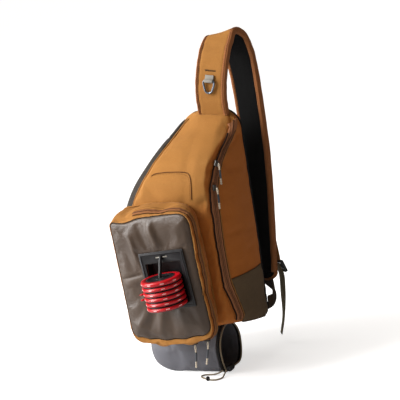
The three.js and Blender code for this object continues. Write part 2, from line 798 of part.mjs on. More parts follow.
function hoop(path, radius, sides) {
  const count = path.length;
  const centre = path.reduce((total, point) => total.clone().add(point), vec(0, 0, 0)).divideScalar(count);
  return loft(path.map((point, i) => {
    const along = path[(i + 1) % count].clone().sub(path[(i + count - 1) % count]).normalize();
    const out = point.clone().sub(centre);
    out.sub(along.clone().multiplyScalar(out.dot(along))).normalize();
    const across = along.clone().cross(out);
    const ring = [];
    for (let j = 0; j < sides; j += 1) {
      const angle = (j / sides) * 2 * Math.PI;
      ring.push(point.clone()
        .add(out.clone().multiplyScalar(radius * Math.cos(angle)))
        .add(across.clone().multiplyScalar(radius * Math.sin(angle))));
    }
    return ring;
  }), true);
}
const drawCordX = hemStart + hemLength + clearance + drawCordRadius;
const drawCordInset = 3;
place('draw_cord', trimmed(hoop(sleeveRing(drawCordX, 1, drawCordInset), drawCordRadius, 8), bodyRoom), cordCloth);

// Cord lock at the front foot of the mouth, and the loop of cord that comes out of it onto the ground
const lockRadius = 5;
const lockLength = 11;
const lockCentre = vec(
  drawCordX + drawCordRadius + clearance + lockRadius,
  -0.62 * sleeveRadius,
  lockRadius + 4,
);
function cordLock() {
  const barrel = new THREE.CylinderGeometry(lockRadius, lockRadius, lockLength, 12);
  const button = new THREE.CylinderGeometry(lockRadius * 0.7, lockRadius * 0.7, 5, 12);
  button.translate(0, lockLength / 2 + 1.5, 0);
  return join(barrel, button).translate(lockCentre.x, lockCentre.y, lockCentre.z);
}
place('cord_lock', cordLock(), blackPlastic);


// The loop's route: out of the lock, forward along the foot, round on the ground and back to the lock
const loopRadius = 1.3;
const loopGround = loopRadius + 0.3;
const loopPoints = [
  vec(69.5, -31.5, 7.2),
  vec(64, -35, 4.2),
  vec(56, -37, 2.2),
  vec(47, -37.5, loopGround),
  vec(39.5, -39.5, loopGround),
  vec(37, -44.5, loopGround),
  vec(40.5, -50, loopGround),
  vec(48, -54, loopGround),
  vec(57, -58.5, loopGround),
  vec(66, -59.5, loopGround),
  vec(73, -55.5, loopGround),
  vec(76, -48, loopGround),
  vec(75, -40.5, 2.6),
  vec(74.5, -35, 4.6),
  vec(75.3, -30.8, 7),
];
const loopSteps = 32;
place('bungee_loop', roundCord(loopPoints, loopRadius, 8, loopSteps), cordCloth);
const beadRadius = 3.2;
const beadLength = 8;
const beadAt = vec(55.6, -58.1, beadRadius + 0.1);
function loopBead() {
  const bead = new THREE.CylinderGeometry(beadRadius, beadRadius * 0.8, beadLength, 10);
  const bore = roundCord(loopPoints, loopRadius + clearance, 8, loopSteps);
  bead.rotateX(Math.PI / 2).rotateZ(0.5).translate(beadAt.x, beadAt.y, beadAt.z);
  return trimmed(bead, bore);
}
place('loop_bead', loopBead(), blackPlastic);

// Strap. Its line starts on the body's top, rises over the shoulder and falls behind the back. Up and
// back are shares of the rise and the reach, right is a share of the strap's width, and turnBack and
// turnUp turn the strap's width away from +X.
const strapOver = [
  { up: 0, back: 0, right: 0, turnBack: 0, turnUp: -0.06 },
  { up: 0.2, back: -0.08, right: 0.06, turnBack: 0, turnUp: -0.02 },
  { up: 0.43, back: -0.1, right: 0.15, turnBack: 0.05, turnUp: 0.04 },
  { up: 0.68, back: -0.02, right: 0.25, turnBack: 0.12, turnUp: 0.12 },
  { up: 0.88, back: 0.14, right: 0.32, turnBack: 0.2, turnUp: 0.18 },
  { up: 1, back: 0.38, right: 0.38, turnBack: 0.25, turnUp: 0.2 },
  { up: 0.94, back: 0.66, right: 0.46, turnBack: 0.15, turnUp: 0.15 },
  { up: 0.74, back: 0.85, right: 0.51, turnBack: 0, turnUp: 0.08 },
  { up: 0.44, back: 0.95, right: 0.52, turnBack: -0.1, turnUp: 0.02 },
];
const strapBehind = [
  { down: 0, back: 1, right: 0.51, turnBack: -0.16, turnUp: 0 },
  { down: 0.29, back: 1, right: 0.5, turnBack: -0.2, turnUp: 0 },
  { down: 0.58, back: 0.97, right: 0.4, turnBack: -0.2, turnUp: 0 },
  { down: 0.82, back: 0.93, right: 0.29, turnBack: -0.2, turnUp: 0 },
  { down: 1, back: 0.9, right: 0.2, turnBack: -0.2, turnUp: 0 },
];
const strapBaseX = bodyX(0.145);
const strapBaseZ = bodyTop - 9;
const strapBaseY = bodyBack - 19;
const strapPlaces = [
  ...strapOver.map((row) => ({ ...row, z: strapBaseZ + row.up * strapRise })),
  ...strapBehind.map((row) => ({ ...row, z: strapBaseZ - row.down * strapDrop })),
];
const strapLine = new THREE.CatmullRomCurve3(
  strapPlaces.map(({ z, back, right }) => vec(strapBaseX + right * strapWidth, strapBaseY + back * strapReach, z)),
  false,
  'centripetal',
);
const strapTurns = new THREE.CatmullRomCurve3(
  strapPlaces.map(({ turnBack, turnUp }) => vec(1, turnBack, turnUp)),
  false,
  'centripetal',
);

// The strap's own directions at a share of its line: along it, across it and out of its outer face
function strapFrame(share) {
  const centre = strapLine.getPoint(share);
  const along = strapLine.getTangent(share);
  const turn = strapTurns.getPoint(share);
  const across = turn.sub(along.clone().multiplyScalar(turn.dot(along))).normalize();
  const outward = across.clone().cross(along).normalize();
  return { centre, along, across, outward };
}
function onStrap(share, side, out) {
  const { centre, across, outward } = strapFrame(share);
  return centre.add(across.multiplyScalar(side)).add(outward.multiplyScalar(out));
}
const strapSteps = 26;
const strapShares = Array.from({ length: strapSteps + 1 }, (_, i) => i / strapSteps);
const strapEdge = strapWidth / 2;
const strapColumns = [
  { side: -strapEdge, half: strapEdgeHalf },
  { side: -strapEdge + bindingCover + bindingGap, half: strapEdgeHalf },
  { side: -strapEdge + bindingCover + 3, half: strapHalf },
  { side: strapEdge - bindingCover - 3, half: strapHalf },
  { side: strapEdge - bindingCover - bindingGap, half: strapEdgeHalf },
  { side: strapEdge, half: strapEdgeHalf },
];
function strapLayer(outerOf, innerOf) {
  const outer = strapShares.map((share) => strapColumns.map((column) => onStrap(share, column.side, outerOf(column))));
  const inner = strapShares.map((share) => strapColumns.map((column) => onStrap(share, column.side, innerOf(column))));
  return sheet(outer, inner);
}
const halfGap = clearance / 2;
place('strap_shell', trimmed(strapLayer(({ half }) => half, () => halfGap), bodyRoom), canvas);
place('strap_lining', trimmed(strapLayer(() => -halfGap, ({ half }) => -half), bodyRoom), darkMesh);

// A loft of a bent channel section. Its two ends are closed as the strips between facing points
function channel(rings) {
  const count = rings[0].length;
  const body = { points: rings.flat(), faces: [] };
  for (let i = 0; i < rings.length - 1; i += 1) {
    for (let j = 0; j < count; j += 1) {
      const k = (j + 1) % count;
      const [a, b, c, d] = [i * count + j, i * count + k, (i + 1) * count + k, (i + 1) * count + j];
      body.faces.push([a, b, c], [a, c, d]);
    }
  }
  const last = (rings.length - 1) * count;
  const half = count / 2;
  for (let j = 0; j < half - 1; j += 1) {
    const [a, b, c, d] = [j, j + 1, count - 2 - j, count - 1 - j];
    body.faces.push([a, c, b], [a, d, c]);
    body.faces.push([last + a, last + b, last + c], [last + a, last + c, last + d]);
  }
  return closedGeometry(body.points, body.faces);
}
// Bindings folded over the strap's two edges
function binding(sign) {
  const near = strapEdge - bindingCover;
  const far = strapEdge + bindingGap;
  const low = strapEdgeHalf + bindingGap;
  const high = low + bindingWall;
  const section = [
    { side: near, out: high },
    { side: far + bindingWall, out: high },
    { side: far + bindingWall, out: -high },
    { side: near, out: -high },
    { side: near, out: -low },
    { side: far, out: -low },
    { side: far, out: low },
    { side: near, out: low },
  ];
  const rings = strapShares.map((share) => section.map(({ side, out }) => onStrap(share, sign * side, out)));
  return channel(rings);
}

place('strap_binding_left', trimmed(binding(-1), bodyRoom), bindingCloth);
place('strap_binding_right', trimmed(binding(1), bodyRoom), bindingCloth);

// Ring and keeper, in a frame on the strap's outer face: x into the face, y up the strap, z across it
const ringShare = 0.162;
const ringPlace = strapFrame(ringShare);
const faceIn = ringPlace.outward.clone().negate();
const faceUp = ringPlace.along.clone();
const faceBasis = new THREE.Matrix4().makeBasis(faceIn, faceUp, faceIn.clone().cross(faceUp));
const faceOrigin = onStrap(ringShare, 0, strapHalf + clearance);
const onFace = (geometry) => geometry.applyMatrix4(faceBasis).translate(faceOrigin.x, faceOrigin.y, faceOrigin.z);
const loopInside = ringWire + runningGap;
const loopOutside = loopInside + keeperWall;
const keeperTail = 9;

// The keeper is webbing folded over the ring's bar and sewn flat above it
function keeper() {
  const outline = new THREE.Shape();
  outline.moveTo(0, -loopOutside * 0.9);
  outline.lineTo(0, keeperTail);
  outline.lineTo(-keeperWall * 1.6, keeperTail);
  outline.lineTo(-keeperWall * 1.9, loopOutside);
  const turns = 8;
  for (let i = 1; i < turns; i += 1) {
    const angle = Math.PI * (0.5 + i / turns);
    outline.lineTo(loopOutside * (Math.cos(angle) - 1), loopOutside * Math.sin(angle));
  }
  outline.closePath();
  const hole = new THREE.Path();
  const corners = 12;
  const reach = loopInside / Math.cos(Math.PI / corners);
  for (let i = 0; i < corners; i += 1) {
    const angle = (i / corners) * 2 * Math.PI;
    const x = reach * Math.cos(angle) - loopOutside;
    const y = reach * Math.sin(angle);
    if (i === 0) hole.moveTo(x, y);
    else hole.lineTo(x, y);
  }
  outline.holes.push(hole);
  const shape = new THREE.ExtrudeGeometry(outline, { depth: keeperWidth, bevelEnabled: false, curveSegments: 8 });
  return onFace(shape.translate(0, 0, -keeperWidth / 2));
}
place('ring_keeper', keeper(), paleWebbing);

// The ring: a straight bar in the keeper and a bow that hangs plumb from it
const ringBar = vec(-loopOutside, 0, 0).applyMatrix4(faceBasis).add(faceOrigin);
const bowCorner = 3.5;
function ring() {
  const half = ringWidth / 2 - ringWire;
  const drop = ringHeight - 2 * ringWire;
  const line = [];
  const bend = (x, z, from, to, size, count) => {
    for (let i = 0; i <= count; i += 1) {
      const angle = mix(from, to, i / count);
      line.push(vec(x + size * Math.cos(angle), 0, z + size * Math.sin(angle)));
    }
  };
  const quarter = Math.PI / 2;
  bend(half - bowCorner * 0.5, -bowCorner * 0.5, quarter, 0, bowCorner * 0.5, 2);
  line.push(vec(half * 0.98, 0, -drop * 0.35));
  bend(0, -drop + half * 0.72, -0.1, -2 * quarter + 0.1, half * 0.72, 8);
  line.push(vec(-half * 0.98, 0, -drop * 0.35));
  bend(-half + bowCorner * 0.5, -bowCorner * 0.5, 2 * quarter, quarter, bowCorner * 0.5, 2);
  line.push(vec(-half / 3, 0, 0), vec(half / 3, 0, 0));
  const across = ringPlace.across;
  const plumb = vec(0, 0, 1).sub(across.clone().multiplyScalar(across.z)).normalize();
  const basis = new THREE.Matrix4().makeBasis(across, plumb.clone().cross(across), plumb);
  return hoop(line, ringWire, 8).applyMatrix4(basis).translate(ringBar.x, ringBar.y, ringBar.z);
}
place('d_ring', ring(), gunmetal);

// A flat strip of webbing along a line. Each place gives its middle and the way that its width points
function strip(places, width, thickness, steps) {
  const line = new THREE.CatmullRomCurve3(places.map(({ at }) => at), false, 'centripetal');
  const widths = new THREE.CatmullRomCurve3(places.map(({ wide }) => wide.clone().normalize()), false, 'centripetal');
  const outer = [];
  const inner = [];
  for (let i = 0; i <= steps; i += 1) {
    const t = i / steps;
    const centre = line.getPoint(t);
    const along = line.getTangent(t);
    const across = widths.getPoint(t);
    across.sub(along.clone().multiplyScalar(across.dot(along))).normalize();
    const out = across.clone().cross(along).normalize();
    const edge = (side, level) => centre.clone()
      .add(across.clone().multiplyScalar(side * width / 2))
      .add(out.clone().multiplyScalar(level * thickness / 2));
    outer.push([edge(-1, 1), edge(0, 1), edge(1, 1)]);
    inner.push([edge(-1, -1), edge(0, -1), edge(1, -1)]);
  }
  return sheet(outer, inner);
}

// Webbing from the strap's lower end to the body's lower right corner
const strapEnd = strapFrame(1);
const strapFoot = strapEnd.centre.clone();
const bodyCorner = sidePoint(lowerRight - cornerSteps, 1, 0);
const webbingStart = strapFoot.clone().add(strapEnd.along.clone().multiplyScalar(clearance * 1.5));
const webbingEnd = vec(bodyCorner.x - 1.5, bodyBack + paddingThickness * 0.2, bodyCorner.z + 2);
const webbingPlaces = [
  { at: webbingStart, wide: strapEnd.across },
  { at: webbingStart.clone().add(strapEnd.along.clone().multiplyScalar(9)), wide: strapEnd.across },
  { at: webbingStart.clone().add(vec(15, -4, -24)), wide: vec(0.5, -1, 0.2) },
  { at: webbingStart.clone().lerp(webbingEnd, 0.62).add(vec(12, 4, 2)), wide: vec(0.2, -1, 0.1) },
  { at: webbingEnd.clone().add(vec(4, 14, 2)), wide: vec(0.2, -0.6, 0.6) },
  { at: webbingEnd.clone(), wide: vec(0.2, 0, 1) },
];

const strapStrip = strip(webbingPlaces, webbingWidth, webbingThickness, 18);
place('strap_webbing', trimmed(strapStrip, bodyRoom, panelRoom), brownWebbing);

// A triangular tab on the strap's outer face carries the ladder lock, and a tail hangs from the lock
const tabShare = 0.91;
const tabTop = onStrap(tabShare, strapEdge * 0.55, strapHalf + 1);
const lockOut = 11;
const lockAt = onStrap(0.99, strapEdge * 0.86, strapHalf + lockOut);
const lockFall = vec(0.16, 0.34, -1).normalize();
const lockWide = vec(1, -0.5, 0).normalize();
const lockFace = lockWide.clone().cross(lockFall).normalize();
function strapTab() {
  const low = lockAt.clone().sub(lockFall.clone().multiplyScalar(buckleHeight / 2 + clearance));
  const thick = webbingThickness / 2;
  const rows = [
    { at: tabTop, half: strapEdge * 0.42 },
    { at: tabTop.clone().lerp(low, 0.5), half: strapEdge * 0.42 },
    { at: low, half: buckleWidth * 0.4 },
  ];
  const edge = (row, side, level) => row.at.clone()
    .add(lockWide.clone().multiplyScalar(side * row.half))
    .add(lockFace.clone().multiplyScalar(level * thick));
  return sheet(
    rows.map((row) => [edge(row, -1, 1), edge(row, 1, 1)]),
    rows.map((row) => [edge(row, -1, -1), edge(row, 1, -1)]),
  );
}
// The tab is cut to the strap and its bindings, where it lies on them
function strapRoom() {
  const half = strapHalf + clearance;
  const reach = strapEdge + bindingGap + bindingWall + clearance;
  const rowAt = (out) => strapShares.map((share) => [onStrap(share, -reach, out), onStrap(share, reach, out)]);
  return sheet(rowAt(half), rowAt(-half));
}
place('strap_tab', trimmed(strapTab(), strapRoom()), canvas);

const lockBasis = new THREE.Matrix4().makeBasis(lockWide, lockFall.clone().negate(), lockFace.clone().negate());
const onLock = (geometry) => geometry.applyMatrix4(lockBasis).translate(lockAt.x, lockAt.y, lockAt.z);
function ladderLock() {
  const frame = block(buckleWidth, buckleHeight, buckleThickness);
  const slots = [0.24, -0.24].map((share) => block(
    buckleWidth * 0.74, buckleHeight * 0.18, buckleThickness * 2, 0, share * buckleHeight, 0,
  ));
  return onLock(cut(frame, ...slots));
}
place('ladder_lock', ladderLock(), blackPlastic);

// The tail comes off the lock's face and hangs to just above the ground
const tailTop = vec(0, 0, buckleThickness / 2 + 2 * clearance + webbingThickness / 2).applyMatrix4(lockBasis).add(lockAt);
const tailEnd = 16;
const tailPlaces = [
  ...[-0.3, 0.2, 0.6].map((share) => (
    { at: tailTop.clone().add(lockFall.clone().multiplyScalar(buckleHeight * share)), wide: lockWide }
  )),
  { at: vec(tailTop.x - 1, tailTop.y + 6, mix(tailTop.z, tailEnd, 0.4)), wide: vec(0.9, -0.5, 0) },
  { at: vec(tailTop.x - 5, tailTop.y + 3, mix(tailTop.z, tailEnd, 0.75)), wide: vec(0.7, -0.8, 0) },
  { at: vec(tailTop.x - 12, tailTop.y, tailEnd), wide: vec(0.6, -0.8, 0) },
];
place('webbing_tail', strip(tailPlaces, tailWidth, webbingThickness, 12), oliveWebbing);

// Zip sliders, and pulls of knotted cord with a moulded grip
const sliderLength = 9;
const sliderWidth = 6;
const sliderHeight = 3;
const pullKnots = [
  { along: 0, radius: 1.2 },
  { along: 0.1, radius: 1.9 },
  { along: 0.22, radius: 1.3 },
  { along: 0.3, radius: 2.2 },
  { along: 0.62, radius: 2.2 },
  { along: 0.7, radius: 1.3 },
  { along: 0.78, radius: 2.1 },
  { along: 0.88, radius: 1.5 },
  { along: 0.94, radius: 1.9 },
  { along: 1, radius: 1 },
];
function pull(points) {
  const line = new THREE.CatmullRomCurve3(points);
  const start = line.getTangent(0);
  const out = vec(1, 0, 0).cross(start).normalize();
  const across = out.clone().cross(start).normalize();
  const sides = 8;
  return cappedLoft(pullKnots.map(({ along, radius }) => {
    const centre = line.getPointAt(along);
    return Array.from({ length: sides }, (_, j) => {
      const angle = (j / sides) * 2 * Math.PI;
      return centre.clone()
        .add(out.clone().multiplyScalar(radius * Math.cos(angle)))
        .add(across.clone().multiplyScalar(radius * Math.sin(angle)));
    });
  }));
}
function slider(at, along, out) {
  const side = out.clone().cross(along).normalize();
  const basis = new THREE.Matrix4().makeBasis(along, side, out);
  const body = block(sliderLength, sliderWidth, sliderHeight, 0, 0, clearance + sliderHeight / 2);
  return body.applyMatrix4(basis).translate(at.x, at.y, at.z);
}

// Two sliders meet near the top of the main zip
const pullLength = 34;
const tapeTop = clearance + zipTapeThickness;
const mainSliders = [
  { name: 'upper', share: 0.335, forward: 0.5 },
  { name: 'lower', share: 0.44, forward: 0.2 },
];
for (const { name, share, forward } of mainSliders) {
  const i = mix(upperRight, lowerRight, share);
  const at = sidePoint(i, zipDepth(i), tapeTop + 0.4);
  const next = sidePoint(i + 0.3, zipDepth(i + 0.3), tapeTop + 0.4);
  const along = next.clone().sub(at).normalize();
  const back = sidePoint(i, zipDepth(i) + 0.1, tapeTop + 0.4).sub(at);
  const out = back.cross(along).normalize();
  if (out.x < 0) out.negate();
  place(`main_slider_${name}`, slider(at, along, out), gunmetal);
  const top = at.clone().add(out.clone().multiplyScalar(sliderHeight + clearance + 2.4));
  const points = [top, top.clone().add(vec(1, -forward, -pullLength / 2)), top.clone().add(vec(1.5, -1, -pullLength))];
  place(`main_pull_${name}`, pull(points), cordCloth);
}

// Two more meet at the pocket's lower right corner, and their pulls hang in front of the sleeve
const pocketPullLength = 42;
const pocketSliders = [
  { name: 'left', place: 7 * cornerCount, lean: -12 },
  { name: 'right', place: 6 * cornerCount + 2.5, lean: -16 },
];
for (const { name, place: count, lean } of pocketSliders) {
  const [low, high] = [Math.floor(count), Math.ceil(count)];
  const at = pocketPoint(low, zipInPocket, tapeTop + 0.5).lerp(pocketPoint(high, zipInPocket, tapeTop + 0.5), count - low);
  const next = pocketPoint(high + 1, zipInPocket, tapeTop + 0.5);
  const along = next.sub(at).normalize();
  const out = vec(0, 1, 0).cross(along).normalize();
  if (out.z > 0) out.negate();
  place(`pocket_slider_${name}`, slider(at, along, out), gunmetal);
  const top = at.clone().add(out.clone().multiplyScalar(sliderHeight + 2 * clearance + 0.4));
  const points = [
    top,
    top.clone().add(vec(lean * 0.4, 4, -pocketPullLength * 0.45)),
    top.clone().add(vec(lean, 12, -pocketPullLength)),
  ];
  place(`pocket_pull_${name}`, pull(points), cordCloth);
}

// Piping round the slip pocket on the front panel, above the raised pocket
const slipPocket = [
  { aside: 0.415, up: 0.77 },
  { aside: 0.2, up: 0.772 },
  { aside: 0.165, up: 0.764 },
  { aside: 0.145, up: 0.74 },
  { aside: 0.145, up: 0.69 },
  { aside: 0.155, up: 0.655 },
];
function slipPiping() {
  const at = ({ aside, up }, side) => vec(bodyX(aside), leanAt(bodyZ(up)) - frontCrown - pipingHeight * side, bodyZ(up));
  const half = pipingWidth / 2;
  const outer = [];
  const inner = [];
  slipPocket.forEach((row, i) => {
    const before = slipPocket[Math.max(i - 1, 0)];
    const after = slipPocket[Math.min(i + 1, slipPocket.length - 1)];
    const along = new THREE.Vector2((before.aside - after.aside) * bodyWidth, (after.up - before.up) * bodyHeight);
    along.normalize();
    const shift = (point, side) => point.add(vec(-along.y * half * side, 0, along.x * half * side));
    outer.push([shift(at(row, 1), -1), shift(at(row, 1), 1)]);
    inner.push([shift(at(row, -3), -1), shift(at(row, -3), 1)]);
  });
  return sheet(outer, inner);
}
place('slip_pocket_piping', trimmed(slipPiping(), bodyRoom), tapeCloth);

export default bag;
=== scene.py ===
# A sling bag for fishing tackle, dressed over its solids: canvas body with a side zip, coated front
# pocket with a dock of line spools, padded strap, and an open sleeve below. Sizes are millimetres
# until a mesh is made. +Z is up, -Y is the front, and +X is the side that the sleeve opens to.
from math import atan2, cos, exp, hypot, pi, radians, sin, sqrt

import bmesh
import bpy
import numpy as np
from mathutils import Matrix, Vector


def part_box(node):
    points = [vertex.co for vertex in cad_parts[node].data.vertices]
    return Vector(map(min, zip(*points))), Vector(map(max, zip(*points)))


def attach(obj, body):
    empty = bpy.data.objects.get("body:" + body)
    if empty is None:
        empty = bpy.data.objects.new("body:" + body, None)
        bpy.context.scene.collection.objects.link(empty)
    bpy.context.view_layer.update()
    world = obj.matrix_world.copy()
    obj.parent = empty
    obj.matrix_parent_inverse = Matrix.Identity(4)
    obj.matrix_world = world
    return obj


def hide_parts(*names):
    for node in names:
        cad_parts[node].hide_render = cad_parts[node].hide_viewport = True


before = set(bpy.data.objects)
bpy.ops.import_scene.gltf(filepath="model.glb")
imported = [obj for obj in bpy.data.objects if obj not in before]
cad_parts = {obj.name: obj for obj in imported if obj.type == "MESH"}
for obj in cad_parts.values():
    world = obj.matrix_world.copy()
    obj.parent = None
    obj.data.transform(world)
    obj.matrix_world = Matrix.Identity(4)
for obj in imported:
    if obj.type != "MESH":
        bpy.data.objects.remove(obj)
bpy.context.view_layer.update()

MM = 0.001
rng = np.random.default_rng(7)


# Camera: a long lens in front and to the right, rolled so that the bag looks turned to the left
def camera_axes(azimuth, elevation, roll):
    azimuth, elevation, roll = np.radians([azimuth, elevation, roll])
    level_right = np.array([cos(azimuth), sin(azimuth), 0.0])
    back = np.array([
        sin(azimuth) * cos(elevation),
        -cos(azimuth) * cos(elevation),
        sin(elevation),
    ])
    level_up = np.cross(back, level_right)
    right = cos(roll) * level_right - sin(roll) * level_up
    up = cos(roll) * level_up + sin(roll) * level_right
    return right, up, back


def make_camera():
    data = bpy.data.cameras.new("camera")
    data.sensor_width = 36
    data.lens = 125.3
    camera = bpy.data.objects.new("camera", data)
    bpy.context.scene.collection.objects.link(camera)
    right, up, back = camera_axes(30, 12, 9)
    looked_at = np.array([44.4, 24.2, 271.3]) * MM
    place = looked_at + back * 2.2
    camera.matrix_world = Matrix([
        [right[0], up[0], back[0], place[0]],
        [right[1], up[1], back[1], place[1]],
        [right[2], up[2], back[2], place[2]],
        [0, 0, 0, 1],
    ])
    bpy.context.scene.camera = camera


make_camera()


# Lines and tables
def vec(*xyz):
    return np.array(xyz, float)


def unit(v):
    v = np.asarray(v, float)
    return v / np.maximum(np.linalg.norm(v, axis=-1, keepdims=True), 1e-12)


def mix(a, b, share):
    return a + (b - a) * share


def box_of(node):
    """Low and high corners of a CAD node, in millimetres"""
    return [np.array(corner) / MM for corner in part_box(node)]


def fitted(piece, slot, node=None, body="root"):
    """Hides the node that a piece stands for and puts the piece under the body that it moves with. Slot, what
    the piece is made of, is not used
    """
    if node:
        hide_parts(node)
    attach(piece, body)
    return piece


def named(columns, rows):
    """A table whose rows are read by the names of their columns"""
    return [dict(zip(columns, row)) for row in rows]


def read_off(wanted, along, values):
    """Rows of values at the wanted places along a line"""
    return np.stack([np.interp(wanted, along, values[:, k]) for k in range(values.shape[1])], axis=1)


def smoothed(values, width):
    """The same row of values under a soft window of an odd width"""
    window = np.hanning(width)
    return np.convolve(np.pad(values, width // 2, mode="edge"), window / window.sum(), mode="valid")


def smooth_line(points, share):
    """A point of a centripetal Catmull-Rom line through the points"""
    points = np.asarray(points, float)
    last = len(points) - 1
    place = min(max(share, 0.0), 1.0) * last
    i = min(int(place), last - 1)
    w = place - i
    p1, p2 = points[i], points[i + 1]
    p0 = points[i - 1] if i > 0 else 2 * points[0] - points[1]
    p3 = points[i + 2] if i + 2 <= last else 2 * points[-1] - points[-2]
    span = [sqrt(max(np.linalg.norm(b - a), 1e-4)) for a, b in ((p0, p1), (p1, p2), (p2, p3))]
    t1 = ((p1 - p0) / span[0] - (p2 - p0) / (span[0] + span[1]) + (p2 - p1) / span[1]) * span[1]
    t2 = ((p2 - p1) / span[1] - (p3 - p1) / (span[1] + span[2]) + (p3 - p2) / span[2]) * span[1]
    return p1 + t1 * w + (3 * (p2 - p1) - 2 * t1 - t2) * w**2 + (2 * (p1 - p2) + t1 + t2) * w**3


def smooth_points(points, count):
    return np.array([smooth_line(points, i / (count - 1)) for i in range(count)])


def lengths(points):
    """Distance along a line at each of its points"""
    steps = np.linalg.norm(np.diff(points, axis=0), axis=1)
    return np.concatenate([[0], np.cumsum(steps)])


def evenly(points, count):
    """The same line with count points, evenly spaced"""
    along = lengths(points)
    return read_off(np.linspace(0, along[-1], count), along, points)


def tangents(points):
    return unit(np.gradient(points, axis=0))


# Meshes
def new_object(name, mesh, material=None):
    piece = bpy.data.objects.new(name, mesh)
    bpy.context.scene.collection.objects.link(piece)
    if material is not None:
        mesh.materials.append(material)
    return piece


def places(mesh):
    """A mesh's points, in metres"""
    co = np.zeros(len(mesh.vertices) * 3, np.float32)
    mesh.vertices.foreach_get("co", co)
    return co.reshape(-1, 3)


def write_values(piece, label, values):
    """An attribute with one number for each point"""
    layer = piece.data.attributes.new(label, "FLOAT", "POINT")
    layer.data.foreach_set("value", np.asarray(values, np.float32))


def shaded(mesh):
    mesh.polygons.foreach_set("use_smooth", np.ones(len(mesh.polygons), bool))
    mesh.update()


def grid_object(name, grid, wrap=False, material=None, keep=None):
    """A mesh over rows and columns of points, with a UV map in metres. Wrap joins the last column to
    the first, and keep says which of its faces stay."""
    grid = np.asarray(grid, float)
    rows, columns = grid.shape[:2]
    last = columns if wrap else columns - 1
    i, j = np.meshgrid(np.arange(rows - 1), np.arange(last), indexing="ij")
    i, j = i.ravel(), j.ravel()
    k = (j + 1) % columns
    faces = np.stack([i * columns + j, i * columns + k, (i + 1) * columns + k, (i + 1) * columns + j], axis=1)
    closed = np.concatenate([grid, grid[:, :1]], axis=1) if wrap else grid
    across = np.cumsum(np.linalg.norm(np.diff(closed, axis=1), axis=2), axis=1)
    across = np.concatenate([np.zeros((rows, 1)), across], axis=1)
    across -= across[:, -1:] / 2
    down = np.concatenate(
        [np.zeros((1, columns)), np.cumsum(np.linalg.norm(np.diff(grid, axis=0), axis=2), axis=0)]
    )
    down = np.concatenate([down, down[:, :1]], axis=1) if wrap else down
    corners = [(i, j), (i, j + 1), (i + 1, j + 1), (i + 1, j)]
    uv = np.stack([np.stack([across[c], down[c]], axis=1) for c in corners], axis=1) * MM
    if keep is not None:
        chosen = keep[i, j]
        faces, uv = faces[chosen], uv[chosen]
    mesh = bpy.data.meshes.new(name)
    mesh.from_pydata((grid.reshape(-1, 3) * MM).tolist(), [], faces.tolist())
    layer = mesh.uv_layers.new(name="UVMap")
    layer.data.foreach_set("uv", uv.reshape(-1).astype(np.float32))
    shaded(mesh)
    piece = new_object(name, mesh, material)
    if keep is not None:
        tidy_mesh(piece, loose=True)
    return piece


def tidy_mesh(piece, merge=0.0, loose=False, outward=False):
    """Merges close points, drops points that carry no face and turns the faces out"""
    edit = bmesh.new()
    edit.from_mesh(piece.data)
    if merge:
        bmesh.ops.remove_doubles(edit, verts=edit.verts, dist=merge)
    if loose:
        bmesh.ops.delete(edit, geom=[v for v in edit.verts if not v.link_faces], context="VERTS")
    if outward:
        bmesh.ops.recalc_face_normals(edit, faces=edit.faces)
    edit.to_mesh(piece.data)
    edit.free()
    shaded(piece.data)


def baked(piece):
    """Turns a piece's modifiers into its mesh"""
    bpy.context.view_layer.update()
    graph = bpy.context.evaluated_depsgraph_get()
    mesh = bpy.data.meshes.new_from_object(piece.evaluated_get(graph))
    piece.modifiers.clear()
    old = piece.data
    piece.data = mesh
    mesh.name = piece.name
    bpy.data.meshes.remove(old)
    shaded(mesh)
    return piece


def finer(piece, levels=1):
    modifier = piece.modifiers.new("finer", "SUBSURF")
    modifier.levels = modifier.render_levels = levels
    return baked(piece)


def thick(piece, thickness, offset=-1.0):
    """Gives a skin its thickness, inwards from its face unless offset says otherwise"""
    modifier = piece.modifiers.new("thick", "SOLIDIFY")
    modifier.thickness = thickness * MM
    modifier.offset = offset
    modifier.use_even_offset = False
    return baked(piece)


def bevelled(piece, width, segments=2, angle=30):
    modifier = piece.modifiers.new("bevel", "BEVEL")
    modifier.width = width * MM
    modifier.segments = segments
    modifier.limit_method = "ANGLE"
    modifier.angle_limit = radians(angle)
    return baked(piece)


def joined(name, pieces):
    """One object from several, which keep their materials and UV maps"""
    with bpy.context.temp_override(
        active_object=pieces[0], object=pieces[0], selected_objects=pieces, selected_editable_objects=pieces,
    ):
        bpy.ops.object.join()
    pieces[0].name = pieces[0].data.name = name
    return pieces[0]


